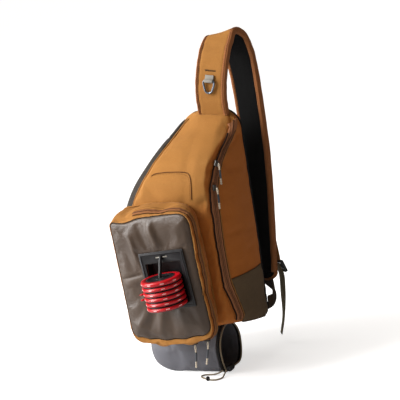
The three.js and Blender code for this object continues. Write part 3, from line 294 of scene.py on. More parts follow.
def settled(piece, held, pressure=2.0, growth=0.0, cap=5.0, frames=16):
    """Runs cloth on a piece whose points are held by the given weights, and caps how far any of them
    moves"""
    start = places(piece.data)
    group = piece.vertex_groups.new(name="held")
    for weight in np.unique(np.round(held, 2)):
        if weight > 0:
            chosen = np.nonzero(np.round(held, 2) == weight)[0]
            group.add([int(n) for n in chosen], float(weight), "REPLACE")
    cloth = piece.modifiers.new("cloth", "CLOTH")
    settings = cloth.settings
    settings.quality = 5
    settings.mass = 0.25
    settings.tension_stiffness = settings.compression_stiffness = 12
    settings.shear_stiffness = 6
    settings.bending_stiffness = 0.4
    settings.air_damping = 2
    settings.use_pressure = True
    settings.uniform_pressure_force = pressure
    settings.vertex_group_mass = "held"
    settings.shrink_min = -growth
    settings.effector_weights.gravity = 0
    cloth.point_cache.frame_start = 1
    cloth.point_cache.frame_end = frames
    for step in range(1, frames + 1):
        bpy.context.scene.frame_set(step)
    graph = bpy.context.evaluated_depsgraph_get()
    end = places(piece.evaluated_get(graph).to_mesh())
    piece.evaluated_get(graph).to_mesh_clear()
    piece.modifiers.remove(cloth)
    piece.vertex_groups.remove(group)
    bpy.context.scene.frame_set(1)
    move = end - start
    far = np.linalg.norm(move, axis=1, keepdims=True)
    limit = cap * MM
    move *= limit * np.tanh(far / limit) / np.maximum(far, 1e-9)
    piece.data.vertices.foreach_set("co", (start + move).ravel())
    piece.data.update()
    return piece


def points_of(piece, first, shape):
    """Some of a piece's points as a grid, in millimetres"""
    return places(piece.data)[first:first + shape[0] * shape[1]].reshape(*shape, 3).astype(float) / MM


def tube(name, points, radius, sides=12, material=None, closed=False):
    """A round cord or wire. Radius is one number or one for each point."""
    points = np.asarray(points, float)
    count = len(points)
    radii = np.broadcast_to(np.asarray(radius, float), (count,))
    if closed:
        along = unit(np.roll(points, -1, axis=0) - np.roll(points, 1, axis=0))
    else:
        along = tangents(points)
    side = np.cross(along[0], [0.3, 0.2, 1.0])
    sides_of = []
    for direction in along:
        side = unit(side - direction * (side @ direction))
        sides_of.append(side)
    sides_of = np.array(sides_of)
    other = np.cross(along, sides_of)
    if closed:
        turn = atan2(np.cross(sides_of[-1], sides_of[0]) @ along[0], sides_of[-1] @ sides_of[0])
        twist = np.linspace(0, turn, count, endpoint=False)
        sides_of, other = (
            sides_of * np.cos(twist)[:, None] + other * np.sin(twist)[:, None],
            other * np.cos(twist)[:, None] - sides_of * np.sin(twist)[:, None],
        )
    angles = np.linspace(0, 2 * pi, sides, endpoint=False)
    ring = np.cos(angles)[None, :, None] * sides_of[:, None] + np.sin(angles)[None, :, None] * other[:, None]
    grid = points[:, None] + ring * radii[:, None, None]
    if closed:
        grid = np.concatenate([grid, grid[:1]])
    else:
        cap = [
            points[0] + (grid[0] - points[0]) * s - along[0] * radii[0] * h for s,
            h in ((0.02, 0.3), (0.75, 0.22))
        ]
        end = [
            points[-1] + (grid[-1] - points[-1]) * s + along[-1] * radii[-1] * h for s,
            h in ((0.75, 0.22), (0.02, 0.3))
        ]
        grid = np.concatenate([cap, grid, end])
    piece = grid_object(name, grid, wrap=True, material=material)
    tidy_mesh(piece, merge=1e-6, outward=True)
    return piece


def turned(name, profile, sides, material=None):
    """A solid of revolution about Z, from a closed profile of radius and height"""
    angles = np.linspace(0, 2 * pi, sides, endpoint=False)
    profile = np.array(list(profile) + [profile[0]], float)
    grid = np.stack([
        profile[:, 0][:, None] * np.cos(angles),
        profile[:, 0][:, None] * np.sin(angles),
        np.repeat(profile[:, 1][:, None], sides, axis=1),
    ], axis=2)
    piece = grid_object(name, grid, wrap=True, material=material)
    tidy_mesh(piece, merge=1e-6, outward=True)
    return piece


def set_in(piece, matrix):
    """Puts a piece's mesh where it goes"""
    piece.data.transform(matrix)
    piece.data.update()
    return piece


def copied(node, name, material, merge=1e-6):
    """A CAD node's mesh as a new piece, to be finished"""
    piece = new_object(name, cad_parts[node].data.copy())
    piece.data.materials.clear()
    piece.data.materials.append(material)
    edit = bmesh.new()
    edit.from_mesh(piece.data)
    bmesh.ops.remove_doubles(edit, verts=edit.verts, dist=merge)
    bmesh.ops.dissolve_limit(edit, angle_limit=radians(2), verts=edit.verts, edges=edit.edges)
    edit.to_mesh(piece.data)
    edit.free()
    return piece


def plumped(piece, amount):
    """The same piece, a little thicker all over"""
    for vertex in piece.data.vertices:
        vertex.co += vertex.normal * amount * MM
    piece.data.update()
    return piece


def strip(name, centres, wides, width, thickness, material, across=7):
    """A flat band along a line, with rounded edges. Wides point across it."""
    along = tangents(centres)
    wides = unit(wides - along * np.sum(wides * along, axis=1)[:, None])
    outs = np.cross(wides, along)
    shares = np.linspace(-1, 1, across)
    level = np.sqrt(np.maximum(1 - np.abs(shares) ** 8, 0)) * thickness / 2
    top = np.stack([centres + wides * (s * width / 2) + outs * h for s, h in zip(shares, level)], 1)
    low = np.stack([centres + wides * (s * width / 2) - outs * h for s, h in zip(shares, level)], 1)
    grid = np.concatenate([top, low[:, ::-1][:, 1:-1]], axis=1)
    cap_near = mix(grid[:1], centres[:1][:, None], 0.98)
    cap_far = mix(grid[-1:], centres[-1:][:, None], 0.98)
    piece = grid_object(name, np.concatenate([cap_near, grid, cap_far]), wrap=True, material=material)
    tidy_mesh(piece, merge=1e-6, outward=True)
    return piece


# Shader groups
def socket_group(name, outputs, **inputs):
    """A shader group over a vector, with named numbers in and out"""
    tree = bpy.data.node_groups.new(name, "ShaderNodeTree")
    tree.interface.new_socket("Vector", in_out="INPUT", socket_type="NodeSocketVector")
    for label, value in inputs.items():
        socket = tree.interface.new_socket(label, in_out="INPUT", socket_type="NodeSocketFloat")
        socket.default_value = value
    for label in outputs:
        tree.interface.new_socket(label, in_out="OUTPUT", socket_type="NodeSocketFloat")
    return tree, tree.nodes.new("NodeGroupInput"), tree.nodes.new("NodeGroupOutput")


def maths(tree, operation, a, b=None, c=None):
    node = tree.nodes.new("ShaderNodeMath")
    node.operation = operation
    for slot, value in enumerate((a, b, c)):
        if value is None:
            continue
        if isinstance(value, (int, float)):
            node.inputs[slot].default_value = value
        else:
            tree.links.new(value, node.inputs[slot])
    return node.outputs[0]


def noise(tree, vector, scale, detail=3.0, roughness=0.5):
    node = tree.nodes.new("ShaderNodeTexNoise")
    node.inputs["Detail"].default_value = detail
    node.inputs["Roughness"].default_value = roughness
    if isinstance(scale, (int, float)):
        node.inputs["Scale"].default_value = scale
    else:
        tree.links.new(scale, node.inputs["Scale"])
    tree.links.new(vector, node.inputs["Vector"])
    return node.outputs["Fac"]


def spread(tree, value, low, high):
    """A value from 0 to 1 taken to a range about its middle"""
    node = tree.nodes.new("ShaderNodeMapRange")
    node.inputs["From Min"].default_value = 0.3
    node.inputs["From Max"].default_value = 0.7
    for label, end in (("To Min", low), ("To Max", high)):
        if isinstance(end, (int, float)):
            node.inputs[label].default_value = end
        else:
            tree.links.new(end, node.inputs[label])
    tree.links.new(value, node.inputs["Value"])
    return node.outputs[0]


def attribute(tree, name):
    node = tree.nodes.new("ShaderNodeAttribute")
    node.attribute_name = name
    return node.outputs["Fac"]


def weave_group():
    """Plain weave: crossing threads that pass over and under each other, with slubs"""
    tree, inside, outside = socket_group("weave", ("Height", "Gap"), Threads=1400.0, Slub=0.35)
    parts = tree.nodes.new("ShaderNodeSeparateXYZ")
    tree.links.new(inside.outputs["Vector"], parts.inputs[0])
    turns = maths(tree, "MULTIPLY", inside.outputs["Threads"], pi)
    u = maths(tree, "MULTIPLY", parts.outputs[0], turns)
    v = maths(tree, "MULTIPLY", parts.outputs[1], turns)
    wave_u, wave_v = maths(tree, "SINE", u), maths(tree, "SINE", v)
    crossing = maths(tree, "MULTIPLY", wave_u, wave_v)
    warp = maths(tree, "ABSOLUTE", wave_u)
    weft = maths(tree, "ABSOLUTE", wave_v)
    over = maths(tree, "MULTIPLY_ADD", crossing, 0.5, 0.5)
    height = maths(
        tree, "ADD", maths(tree, "MULTIPLY", warp, over),
        maths(tree, "MULTIPLY", weft, maths(tree, "SUBTRACT", 1.0, over)),
    )
    slub = noise(tree, inside.outputs["Vector"], maths(tree, "MULTIPLY", inside.outputs["Threads"], 0.12), 2)
    rough = maths(tree, "MULTIPLY", maths(tree, "SUBTRACT", slub, 0.5), inside.outputs["Slub"])
    tree.links.new(maths(tree, "ADD", height, rough), outside.inputs["Height"])
    tree.links.new(maths(tree, "SUBTRACT", 1.0, height), outside.inputs["Gap"])
    return tree


def mottle_group():
    """Uneven dye and soiling: wide soft patches and small flecks, as a factor round 1"""
    tree, inside, outside = socket_group(
        "mottle", ("Factor", "Patch"), Patches=14.0, Flecks=420.0, Amount=0.1
    )
    wide = noise(tree, inside.outputs["Vector"], inside.outputs["Patches"], 4)
    small = noise(tree, inside.outputs["Vector"], inside.outputs["Flecks"], 2)
    both = maths(tree, "ADD", maths(tree, "MULTIPLY", wide, 0.65), maths(tree, "MULTIPLY", small, 0.35))
    lift = maths(tree, "MULTIPLY", maths(tree, "SUBTRACT", both, 0.5), 2.0)
    factor = maths(tree, "MULTIPLY_ADD", lift, inside.outputs["Amount"], 1.0)
    tree.links.new(factor, outside.inputs["Factor"])
    tree.links.new(wide, outside.inputs["Patch"])
    return tree


def wear_group():
    """Rubbed edges: seams and folds, kept in the mesh's own attribute, turn paler and flatter"""
    tree, inside, outside = socket_group("wear", ("Worn",), Amount=0.5)
    rubbed = attribute(tree, "rubbed")
    broken = noise(tree, inside.outputs["Vector"], 160, 3)
    share = maths(tree, "MULTIPLY", spread(tree, broken, 0.2, 1.0), inside.outputs["Amount"])
    worn = maths(tree, "MULTIPLY", rubbed, share)
    tree.links.new(maths(tree, "MINIMUM", worn, 1.0), outside.inputs["Worn"])
    return tree


groups = {"weave": weave_group(), "mottle": mottle_group(), "wear": wear_group()}


class Finish:
    """A material in the making: a Principled shader, with colour, roughness and height fed in"""

    def __init__(self, name, roughness=0.8, metallic=0.0, sheen=0.0, coat=0.0, specular=0.5):
        self.material = bpy.data.materials.new(name)
        self.material.use_nodes = True
        self.tree = self.material.node_tree
        self.shader = self.tree.nodes["Principled BSDF"]
        self.shader.inputs["Roughness"].default_value = roughness
        self.shader.inputs["Metallic"].default_value = metallic
        self.shader.inputs["Sheen Weight"].default_value = sheen
        self.shader.inputs["Sheen Roughness"].default_value = 0.5
        self.shader.inputs["Coat Weight"].default_value = coat
        self.shader.inputs["Specular IOR Level"].default_value = specular
        coordinates = self.tree.nodes.new("ShaderNodeTexCoord")
        self.object = coordinates.outputs["Object"]
        self.uv = coordinates.outputs["UV"]

    def group(self, name, vector, **values):
        node = self.tree.nodes.new("ShaderNodeGroup")
        node.node_tree = groups[name]
        self.tree.links.new(vector, node.inputs["Vector"])
        for label, value in values.items():
            node.inputs[label].default_value = value
        return node.outputs

    def blend(self, factor, a, b):
        node = self.tree.nodes.new("ShaderNodeMix")
        node.data_type = "RGBA"
        self.feed(factor, node.inputs["Factor"])
        self.feed(a, node.inputs["A"])
        self.feed(b, node.inputs["B"])
        return node.outputs["Result"]

    def scaled(self, colour, factor):
        node = self.tree.nodes.new("ShaderNodeVectorMath")
        node.operation = "SCALE"
        self.feed(colour, node.inputs[0])
        self.tree.links.new(factor, node.inputs["Scale"])
        return node.outputs[0]

    def uv_parts(self):
        """The two directions of the piece's own UV map"""
        node = self.tree.nodes.new("ShaderNodeSeparateXYZ")
        self.tree.links.new(self.uv, node.inputs[0])
        return node.outputs

    def maths(self, operation, *values):
        return maths(self.tree, operation, *values)

    def noise(self, *values):
        return noise(self.tree, self.object, *values)

    def feed(self, value, socket):
        if isinstance(value, (int, float)):
            socket.default_value = value
        elif isinstance(value, tuple):
            socket.default_value = value if len(socket.default_value) == 3 else (*value, 1)
        else:
            self.tree.links.new(value, socket)

    def colour(self, value):
        self.feed(value, self.shader.inputs["Base Color"])

    def rough(self, value, low, high):
        self.tree.links.new(spread(self.tree, value, low, high), self.shader.inputs["Roughness"])

    def height(self, value, distance):
        node = self.tree.nodes.new("ShaderNodeBump")
        node.inputs["Strength"].default_value = 1.0
        node.inputs["Distance"].default_value = distance * MM
        self.tree.links.new(value, node.inputs["Height"])
        self.tree.links.new(node.outputs[0], self.shader.inputs["Normal"])


def cloth_finish(
    name, colour, gap, threads=1400, mottle=0.12, depth=0.12, sheen=0.15, worn=0.5, pale=None, roughness=0.85,
    creases=0.0, painted_shade_colour=None,
):
    """Woven cloth: threads, darker gaps, uneven dye, paler rubbed seams, and a darker, redder colour of
    painted shade where the mesh's weight asks for it
    """
    made = Finish(name, roughness=roughness, sheen=sheen * 0.1, specular=0.12)
    weave = made.group("weave", made.uv, Threads=threads)
    dye = made.group("mottle", made.object, Amount=mottle)
    wear = made.group("wear", made.object, Amount=worn)
    # Painted shade: the base colour is blended towards the shade colour by the mesh's painted shade weight
    base_with_painted_shade = colour
    if painted_shade_colour:
        base_with_painted_shade = made.blend(attribute(made.tree, "unfaded"), colour, painted_shade_colour)
    threads_only = made.blend(made.maths("MULTIPLY", weave["Gap"], 0.7), base_with_painted_shade, gap)
    rubbed = made.blend(
        wear["Worn"], made.scaled(threads_only, dye["Factor"]), pale or tuple(min(1, c * 1.5) for c in colour)
    )
    made.colour(rubbed)
    made.rough(dye["Patch"], roughness - 0.06, min(1.0, roughness + 0.06))
    relief = made.maths("MULTIPLY", weave["Height"], depth)
    if creases:
        soft = made.noise(38, 3, 0.55)
        relief = made.maths("ADD", relief, made.maths("MULTIPLY", soft, creases))
    made.height(relief, 1.0)
    return made.material


def coated_finish(name, colour, bright, roughness=0.4, specular=0.26):
    """Coated cloth: a smooth skin with fine grain, small creases and a soft gloss"""
    made = Finish(name, roughness=roughness, specular=specular)
    dye = made.group("mottle", made.object, Amount=0.18, Patches=22.0, Flecks=900.0)
    wear = made.group("wear", made.object, Amount=0.35)
    made.colour(
        made.blend(
            wear["Worn"], made.scaled(made.blend(dye["Patch"], colour, bright), dye["Factor"]),
            tuple(c * 2.2 for c in bright),
        )
    )
    made.rough(dye["Patch"], roughness - 0.08, roughness + 0.1)
    grain = made.noise(1500, 3, 0.6)
    crease = made.noise(90, 4, 0.7)
    made.height(
        made.maths("ADD", made.maths("MULTIPLY", grain, 0.35), made.maths("MULTIPLY", crease, 1.2)), 0.35
    )
    return made.material


def ribbed_finish(name, colour, dark, pitch, roughness=0.8, depth=0.2, along=1, mottle=0.12, sheen=0.1):
    """Webbing, tape and binding: ribs across the band, with a fine fleck"""
    made = Finish(name, roughness=roughness, sheen=sheen * 0.1, specular=0.08)
    parts = made.uv_parts()
    rib = made.maths("ABSOLUTE", made.maths("SINE", made.maths("MULTIPLY", parts[along], pi * 1000 / pitch)))
    fleck = made.maths(
        "ABSOLUTE", made.maths("SINE", made.maths("MULTIPLY", parts[1 - along], pi * 1000 / pitch * 0.8))
    )
    dye = made.group("mottle", made.object, Amount=mottle)
    lines = made.blend(made.maths("POWER", rib, 0.6), dark, colour)
    made.colour(made.scaled(lines, dye["Factor"]))
    made.rough(dye["Patch"], roughness - 0.05, roughness + 0.05)
    made.height(made.maths("MULTIPLY_ADD", fleck, 0.4, rib), depth)
    return made.material


def mesh_finish(name, colour, hole, pitch=1.9):
    """Spacer mesh: a close field of small round holes in black knit"""
    made = Finish(name, roughness=0.9, specular=0.08)
    cells = made.tree.nodes.new("ShaderNodeTexVoronoi")
    cells.inputs["Scale"].default_value = 1000 / pitch
    cells.inputs["Randomness"].default_value = 0.15
    made.tree.links.new(made.uv, cells.inputs["Vector"])
    rim = spread(made.tree, cells.outputs["Distance"], 0.0, 1.0)
    dye = made.group("mottle", made.object, Amount=0.25)
    made.colour(made.scaled(made.blend(rim, hole, colour), dye["Factor"]))
    made.height(rim, 0.5)
    return made.material


def moulded_finish(name, colour, roughness=0.4, coat=0.0):
    """Moulded plastic: fine spark texture, faint flow marks and rubbed edges"""
    made = Finish(name, roughness=roughness, coat=coat, specular=0.25)
    dye = made.group("mottle", made.object, Amount=0.2, Patches=35.0, Flecks=1200.0)
    wear = made.group("wear", made.object, Amount=0.4)
    made.colour(
        made.blend(
            wear["Worn"], made.scaled(colour, dye["Factor"]), tuple(min(1, c * 2.5 + 0.02) for c in colour)
        )
    )
    made.rough(dye["Patch"], roughness - 0.08, roughness + 0.12)
    made.height(made.noise(2600, 2), 0.06)
    return made.material


def metal_finish(name, colour, roughness=0.3):
    """Gunmetal plating with fine brushing and wear"""
    made = Finish(name, roughness=roughness, metallic=1.0)
    dye = made.group("mottle", made.object, Amount=0.25, Patches=60.0, Flecks=1500.0)
    made.colour(made.scaled(colour, dye["Factor"]))
    made.rough(dye["Patch"], roughness - 0.1, roughness + 0.15)
    made.height(made.noise(1800, 3), 0.04)
    return made.material


def cord_finish(name, colour, dark, pitch=1.1, roughness=0.75):
    """Braided cord: two sets of strands that cross on the slant"""
    made = Finish(name, roughness=roughness, sheen=0.2, specular=0.3)
    parts = made.uv_parts()
    turns = pi * 1000 / pitch
    both = []
    for sign in (1, -1):
        slant = made.maths("MULTIPLY_ADD", parts[0], sign * 1.6, parts[1])
        both.append(made.maths("SINE", made.maths("MULTIPLY", slant, turns)))
    braid = made.maths("ABSOLUTE", made.maths("MULTIPLY", both[0], both[1]))
    dye = made.group("mottle", made.object, Amount=0.15, Patches=80.0)
    made.colour(made.scaled(made.blend(made.maths("POWER", braid, 0.5), dark, colour), dye["Factor"]))
    made.height(braid, 0.2)
    return made.material


def band_finish():
    """Red silicone band with plain pale dashes round its face"""
    made = Finish("red_band", roughness=0.3, specular=0.3)
    parts = made.uv_parts()
    tree = made.tree
    turn = maths(tree, "FRACT", maths(tree, "MULTIPLY", parts[0], 1000 / 21))
    dash = maths(tree, "LESS_THAN", turn, 0.3)
    inner = maths(tree, "GREATER_THAN", maths(tree, "FRACT", maths(tree, "MULTIPLY", turn, 14.0)), 0.42)
    mark = maths(tree, "MULTIPLY", maths(tree, "MULTIPLY", dash, inner), attribute(tree, "printed"))
    dye = made.group("mottle", made.object, Amount=0.15, Patches=60.0)
    made.colour(made.blend(mark, made.scaled((0.36, 0.002, 0.006), dye["Factor"]), (0.75, 0.55, 0.52)))
    made.height(made.noise(1600, 2), 0.04)
    return made.material


# The canvas's last colour is painted shade, darker and redder, for its shaded sides and the body below the
# pocket
canvas = cloth_finish(
    "canvas", (0.285, 0.127, 0.03), (0.155, 0.058, 0.011), mottle=0.2, creases=1.6, threads=1150,
    pale=(0.4, 0.2, 0.065), painted_shade_colour=(0.36, 0.105, 0.017),
)
coated = coated_finish("coated_cloth", (0.034, 0.02, 0.012), (0.05, 0.031, 0.019), specular=0.33)
gusset_cloth = coated_finish(
    "gusset_cloth", (0.022, 0.018, 0.015), (0.03, 0.025, 0.021), roughness=0.7, specular=0.12
)
patch_cloth = cloth_finish(
    "patch_cloth", (0.11, 0.073, 0.041), (0.026, 0.017, 0.009), threads=620, depth=0.4, mottle=0.45,
    roughness=0.9,
)
tape = ribbed_finish("zip_tape", (0.29, 0.12, 0.055), (0.15, 0.06, 0.026), 0.9)
pocket_tape_cloth = ribbed_finish("pocket_zip_tape", (0.24, 0.098, 0.036), (0.12, 0.046, 0.016), 0.9)
tape_dark = ribbed_finish("zip_coil", (0.13, 0.055, 0.026), (0.05, 0.02, 0.01), 1.2, roughness=0.5)
binding = ribbed_finish("binding", (0.27, 0.102, 0.036), (0.15, 0.052, 0.018), 1.0, sheen=0.2)
spacer = mesh_finish("spacer_mesh", (0.007, 0.0065, 0.0065), (0.002, 0.002, 0.002))
sleeve_cloth = cloth_finish(
    "sleeve_cloth", (0.115, 0.115, 0.13), (0.05, 0.05, 0.058), threads=2200, depth=0.05, roughness=0.6,
    sheen=0.3,
)
elastic = ribbed_finish("elastic", (0.016, 0.015, 0.015), (0.006, 0.006, 0.006), 1.3)
plastic = moulded_finish("black_plastic", (0.008, 0.0077, 0.0085))
grip_plastic = moulded_finish("grip_plastic", (0.03, 0.035, 0.042), roughness=0.35)
spool_plastic = moulded_finish("spool_plastic", (0.013, 0.013, 0.014), roughness=0.3, coat=0.2)
gunmetal = metal_finish("gunmetal", (0.13, 0.145, 0.17), roughness=0.38)
dark_metal = metal_finish("dark_metal", (0.07, 0.065, 0.06), roughness=0.5)
bungee = cord_finish("bungee_cord", (0.32, 0.26, 0.17), (0.12, 0.09, 0.055))
cream = cord_finish("cream_cord", (0.62, 0.54, 0.42), (0.35, 0.28, 0.2), pitch=0.9)
olive = ribbed_finish("olive_webbing", (0.14, 0.115, 0.075), (0.06, 0.05, 0.03), 1.6)
brown = ribbed_finish("brown_webbing", (0.035, 0.022, 0.014), (0.012, 0.008, 0.005), 1.7)
pale = ribbed_finish("pale_webbing", (0.36, 0.34, 0.3), (0.2, 0.185, 0.16), 1.4)
thread = ribbed_finish("thread", (0.11, 0.04, 0.013), (0.06, 0.02, 0.007), 0.5)
dark_thread = ribbed_finish("dark_thread", (0.03, 0.024, 0.02), (0.012, 0.01, 0.008), 0.5)
# Near-black tape: real dark seams and grooves, and also the dark tubes of painted shade along the zips
seam_cloth = ribbed_finish("seam_cloth", (0.022, 0.009, 0.005), (0.01, 0.004, 0.003), 0.8)
red_band = band_finish()


# Geometry Nodes: one small item set at each of a row of points, turned to the point's own directions
def repeat_tree():
    tree = bpy.data.node_groups.new("set_along", "GeometryNodeTree")
    face = tree.interface
    face.new_socket("Geometry", in_out="INPUT", socket_type="NodeSocketGeometry")
    item = face.new_socket("Item", in_out="INPUT", socket_type="NodeSocketObject")
    size = face.new_socket("Size", in_out="INPUT", socket_type="NodeSocketVector")
    colour = face.new_socket("Material", in_out="INPUT", socket_type="NodeSocketMaterial")
    face.new_socket("Geometry", in_out="OUTPUT", socket_type="NodeSocketGeometry")
    nodes, link = tree.nodes, tree.links.new
    start, end = nodes.new("NodeGroupInput"), nodes.new("NodeGroupOutput")
    info = nodes.new("GeometryNodeObjectInfo")
    link(start.outputs["Item"], info.inputs["Object"])
    directions = {}
    for label in ("along", "out"):
        node = nodes.new("GeometryNodeInputNamedAttribute")
        node.data_type = "FLOAT_VECTOR"
        node.inputs["Name"].default_value = label
        directions[label] = node.outputs["Attribute"]
    upright = nodes.new("FunctionNodeAlignEulerToVector")
    upright.axis = "Z"
    link(directions["out"], upright.inputs["Vector"])
    facing = nodes.new("FunctionNodeAlignEulerToVector")
    facing.axis = "X"
    facing.pivot_axis = "Z"
    link(upright.outputs[0], facing.inputs["Rotation"])
    link(directions["along"], facing.inputs["Vector"])
    points = nodes.new("GeometryNodeMeshToPoints")
    link(start.outputs["Geometry"], points.inputs["Mesh"])
    place = nodes.new("GeometryNodeInstanceOnPoints")
    link(points.outputs[0], place.inputs["Points"])
    link(info.outputs["Geometry"], place.inputs["Instance"])
    link(facing.outputs[0], place.inputs["Rotation"])
    link(start.outputs["Size"], place.inputs["Scale"])
    real = nodes.new("GeometryNodeRealizeInstances")
    link(place.outputs[0], real.inputs[0])
    paint = nodes.new("GeometryNodeSetMaterial")
    link(real.outputs[0], paint.inputs["Geometry"])
    link(start.outputs["Material"], paint.inputs["Material"])
    link(paint.outputs[0], end.inputs[0])
    return tree, {"Item": item.identifier, "Size": size.identifier, "Material": colour.identifier}


set_along_tree, set_along_sockets = repeat_tree()


def small_item(name, rings):
    """A little closed form along X, from rings of (x, half width, height)"""
    sides = 6
    angles = np.linspace(0, 2 * pi, sides, endpoint=False)
    grid = np.array([[(x, w * cos(a), h * sin(a)) for a in angles] for x, w, h in rings])
    piece = grid_object(name, grid, wrap=True)
    tidy_mesh(piece, merge=1e-7, outward=True)
    piece.hide_render = True
    piece.hide_viewport = True
    return piece


stitch_item = small_item(
    "stitch_item",
    [(-0.95, 0.02, 0.02), (-0.85, 0.22, 0.16), (0, 0.27, 0.3), (0.85, 0.22, 0.16), (0.95, 0.02, 0.02)],
)
tooth_item = small_item(
    "tooth_item", [(-0.5, 0.1, 0.05), (-0.42, 1.3, 0.6), (0.42, 1.3, 0.6), (0.5, 0.1, 0.05)]
)


def set_along(name, points, alongs, outs, item, material, size=(1, 1, 1)):
    """A row of small items as one plain mesh"""
    mesh = bpy.data.meshes.new(name)
    mesh.from_pydata((np.asarray(points) * MM).tolist(), [], [])
    for label, values in (("along", alongs), ("out", outs)):
        layer = mesh.attributes.new(label, "FLOAT_VECTOR", "POINT")
        layer.data.foreach_set("vector", np.asarray(values, np.float32).ravel())
    piece = new_object(name, mesh)
    item.hide_viewport = False
    modifier = piece.modifiers.new("set_along", "NODES")
    modifier.node_group = set_along_tree
    modifier[set_along_sockets["Item"]] = item
    modifier[set_along_sockets["Size"]] = size
    modifier[set_along_sockets["Material"]] = material
    baked(piece)
    item.hide_viewport = True
    piece.data.materials.clear()
    piece.data.materials.append(material)
    return piece


def stitches(name, line, outs, material=None, pitch=2.9, lift=0.12, size=1.0):
    """A row of stitches along a line that lies on a surface"""
    along = lengths(line)
    count = max(2, int(along[-1] / pitch))
    wanted = (np.arange(count) + 0.5) * along[-1] / count
    points, ways = read_off(wanted, along, line), unit(read_off(wanted, along, outs))
    runs = unit(read_off(wanted, along, tangents(line)))
    return set_along(
        name, points + ways * lift, runs, ways, stitch_item, material or thread, (size, size, size)
    )


# A grid of points that other pieces are laid on
class Surface:
    def __init__(self, grid, inside):
        self.grid = np.asarray(grid, float)
        rows, columns = np.gradient(self.grid, axis=0), np.gradient(self.grid, axis=1)
        normal = unit(np.cross(rows, columns))
        outward = np.sum(normal * (self.grid - np.asarray(inside, float)), axis=2).mean()
        self.normal = normal if outward > 0 else -normal

    def look_up(self, table, row, column):
        row = np.clip(row, 0, table.shape[0] - 1)
        column = np.clip(column, 0, table.shape[1] - 1)
        i, j = np.minimum(row.astype(int), table.shape[0] - 2), np.minimum(
            column.astype(int), table.shape[1] - 2
        )
        a, b = (row - i)[..., None], (column - j)[..., None]
        return mix(mix(table[i, j], table[i, j + 1], b), mix(table[i + 1, j], table[i + 1, j + 1], b), a)

    def at(self, row, column, out=0.0):
        row, column = np.broadcast_arrays(np.asarray(row, float), np.asarray(column, float))
        out = np.asarray(out, float)
        out = out[..., None] if out.ndim else out
        return self.look_up(self.grid, row, column) + unit(self.look_up(self.normal, row, column)) * out

    def out(self, row, column):
        row, column = np.broadcast_arrays(np.asarray(row, float), np.asarray(column, float))
        return unit(self.look_up(self.normal, row, column))


def laid(name, surface, rows, columns, out, thickness, material, bow=0.0):
    """A sheet over part of a surface. Rows and columns are grids of places on it."""
    wide = rows.shape[1]
    rise = out + thickness + bow * (1 - np.linspace(-1, 1, wide)[None, :] ** 4)
    piece = grid_object(name, surface.at(rows, columns, rise), material=material)
    face = piece.data.polygons[len(piece.data.polygons) // 2]
    near = face.index // (wide - 1), face.index % (wide - 1)
    if np.dot(face.normal, surface.out(rows[near], columns[near])) < 0:
        piece.data.flip_normals()
    piece = thick(piece, thickness)
    tidy_mesh(piece, outward=True)
    return piece


# Body. Left is a share of the width from the right edge, up a share of the height from the bottom.
# The front panel's outline comes first, then the back panel's.
sleeve_radius = 38.0
sleeve_axis = 40.0
body_width, body_height, body_depth, body_right = 248.0, 348.0, 120.0, 120.0
bottom_rise, edge_round, side_bulge, front_crown, corner_round = 24.0, 7.0, 4.0, 4.0, 28.0
front_lift = bottom_rise / body_height
bottom_slope = bottom_rise / (body_depth - 2 * edge_round)
body_bottom = (sleeve_radius - 1.2) * hypot(1, bottom_slope) + sleeve_axis - bottom_rise / 2
body_front, body_back = -body_depth / 2, body_depth / 2
body_corners = named(("left", "up", "back_left", "back_up", "round"), [
    (0.726, front_lift, 0.952, 0, 1),
    (0.742, 0.385, 1, 0.374, 2.2),
    (0.621, 0.621, 0.903, 0.592, 1.6),
    (0.418, 0.833, 0.615, 0.799, 1.4),
    (0.357, 0.934, 0.445, 0.905, 0.5),
    (0.28, 0.986, 0.335, 0.984, 0.5),
    (0.034, 0.969, 0.065, 0.982, 0.36),
    (0.01, 0.92, 0, 0.932, 0.5),
    (0.052, 0.776, 0, 0.787, 1.4),
    (0.06, 0.385, 0, 0.385, 2),
    (0.052, front_lift, 0.008, 0, 0.7),
])
front_lean = [
    (0, 0), (0.672, 0), (0.736, 0.033), (0.805, 0.142), (0.851, 0.317), (0.914, 0.633), (0.96, 0.783),
    (1, 0.82),
]


def body_x(left):
    return body_right - left * body_width


def body_z(up):
    return body_bottom + up * body_height


def lean_table():
    heights = np.linspace(-0.1, 1.1, 601)
    values = np.interp(heights, *np.array(front_lean, float).T)
    return body_z(heights), body_front + body_depth * smoothed(values, 27)


lean_heights, lean_depths = lean_table()


def lean(z):
    return np.interp(z, lean_heights, lean_depths)


corner_steps, edge_steps = 8, 12


def outline(corners, size):
    """Points round a polygon with rounded corners: the same number for each corner and each side"""
    corners = [(vec(x, z), r) for x, z, r in corners]
    arcs = []
    for i, (corner, r) in enumerate(corners):
        before, after = corners[i - 1][0] - corner, corners[(i + 1) % len(corners)][0] - corner
        start = unit(before) * min(r * size, np.linalg.norm(before) * 0.45)
        end = unit(after) * min(r * size, np.linalg.norm(after) * 0.45)
        t = np.linspace(0, 1, corner_steps + 1)[:, None]
        arcs.append(corner + start * (1 - t) ** 2 + end * t**2)
    points = []
    for i, arc in enumerate(arcs):
        ahead = arcs[(i + 1) % len(arcs)][0]
        t = np.linspace(0, 1, edge_steps + 2)[1:-1, None]
        points += [arc, mix(arc[-1], ahead, t)]
    return np.concatenate(points)


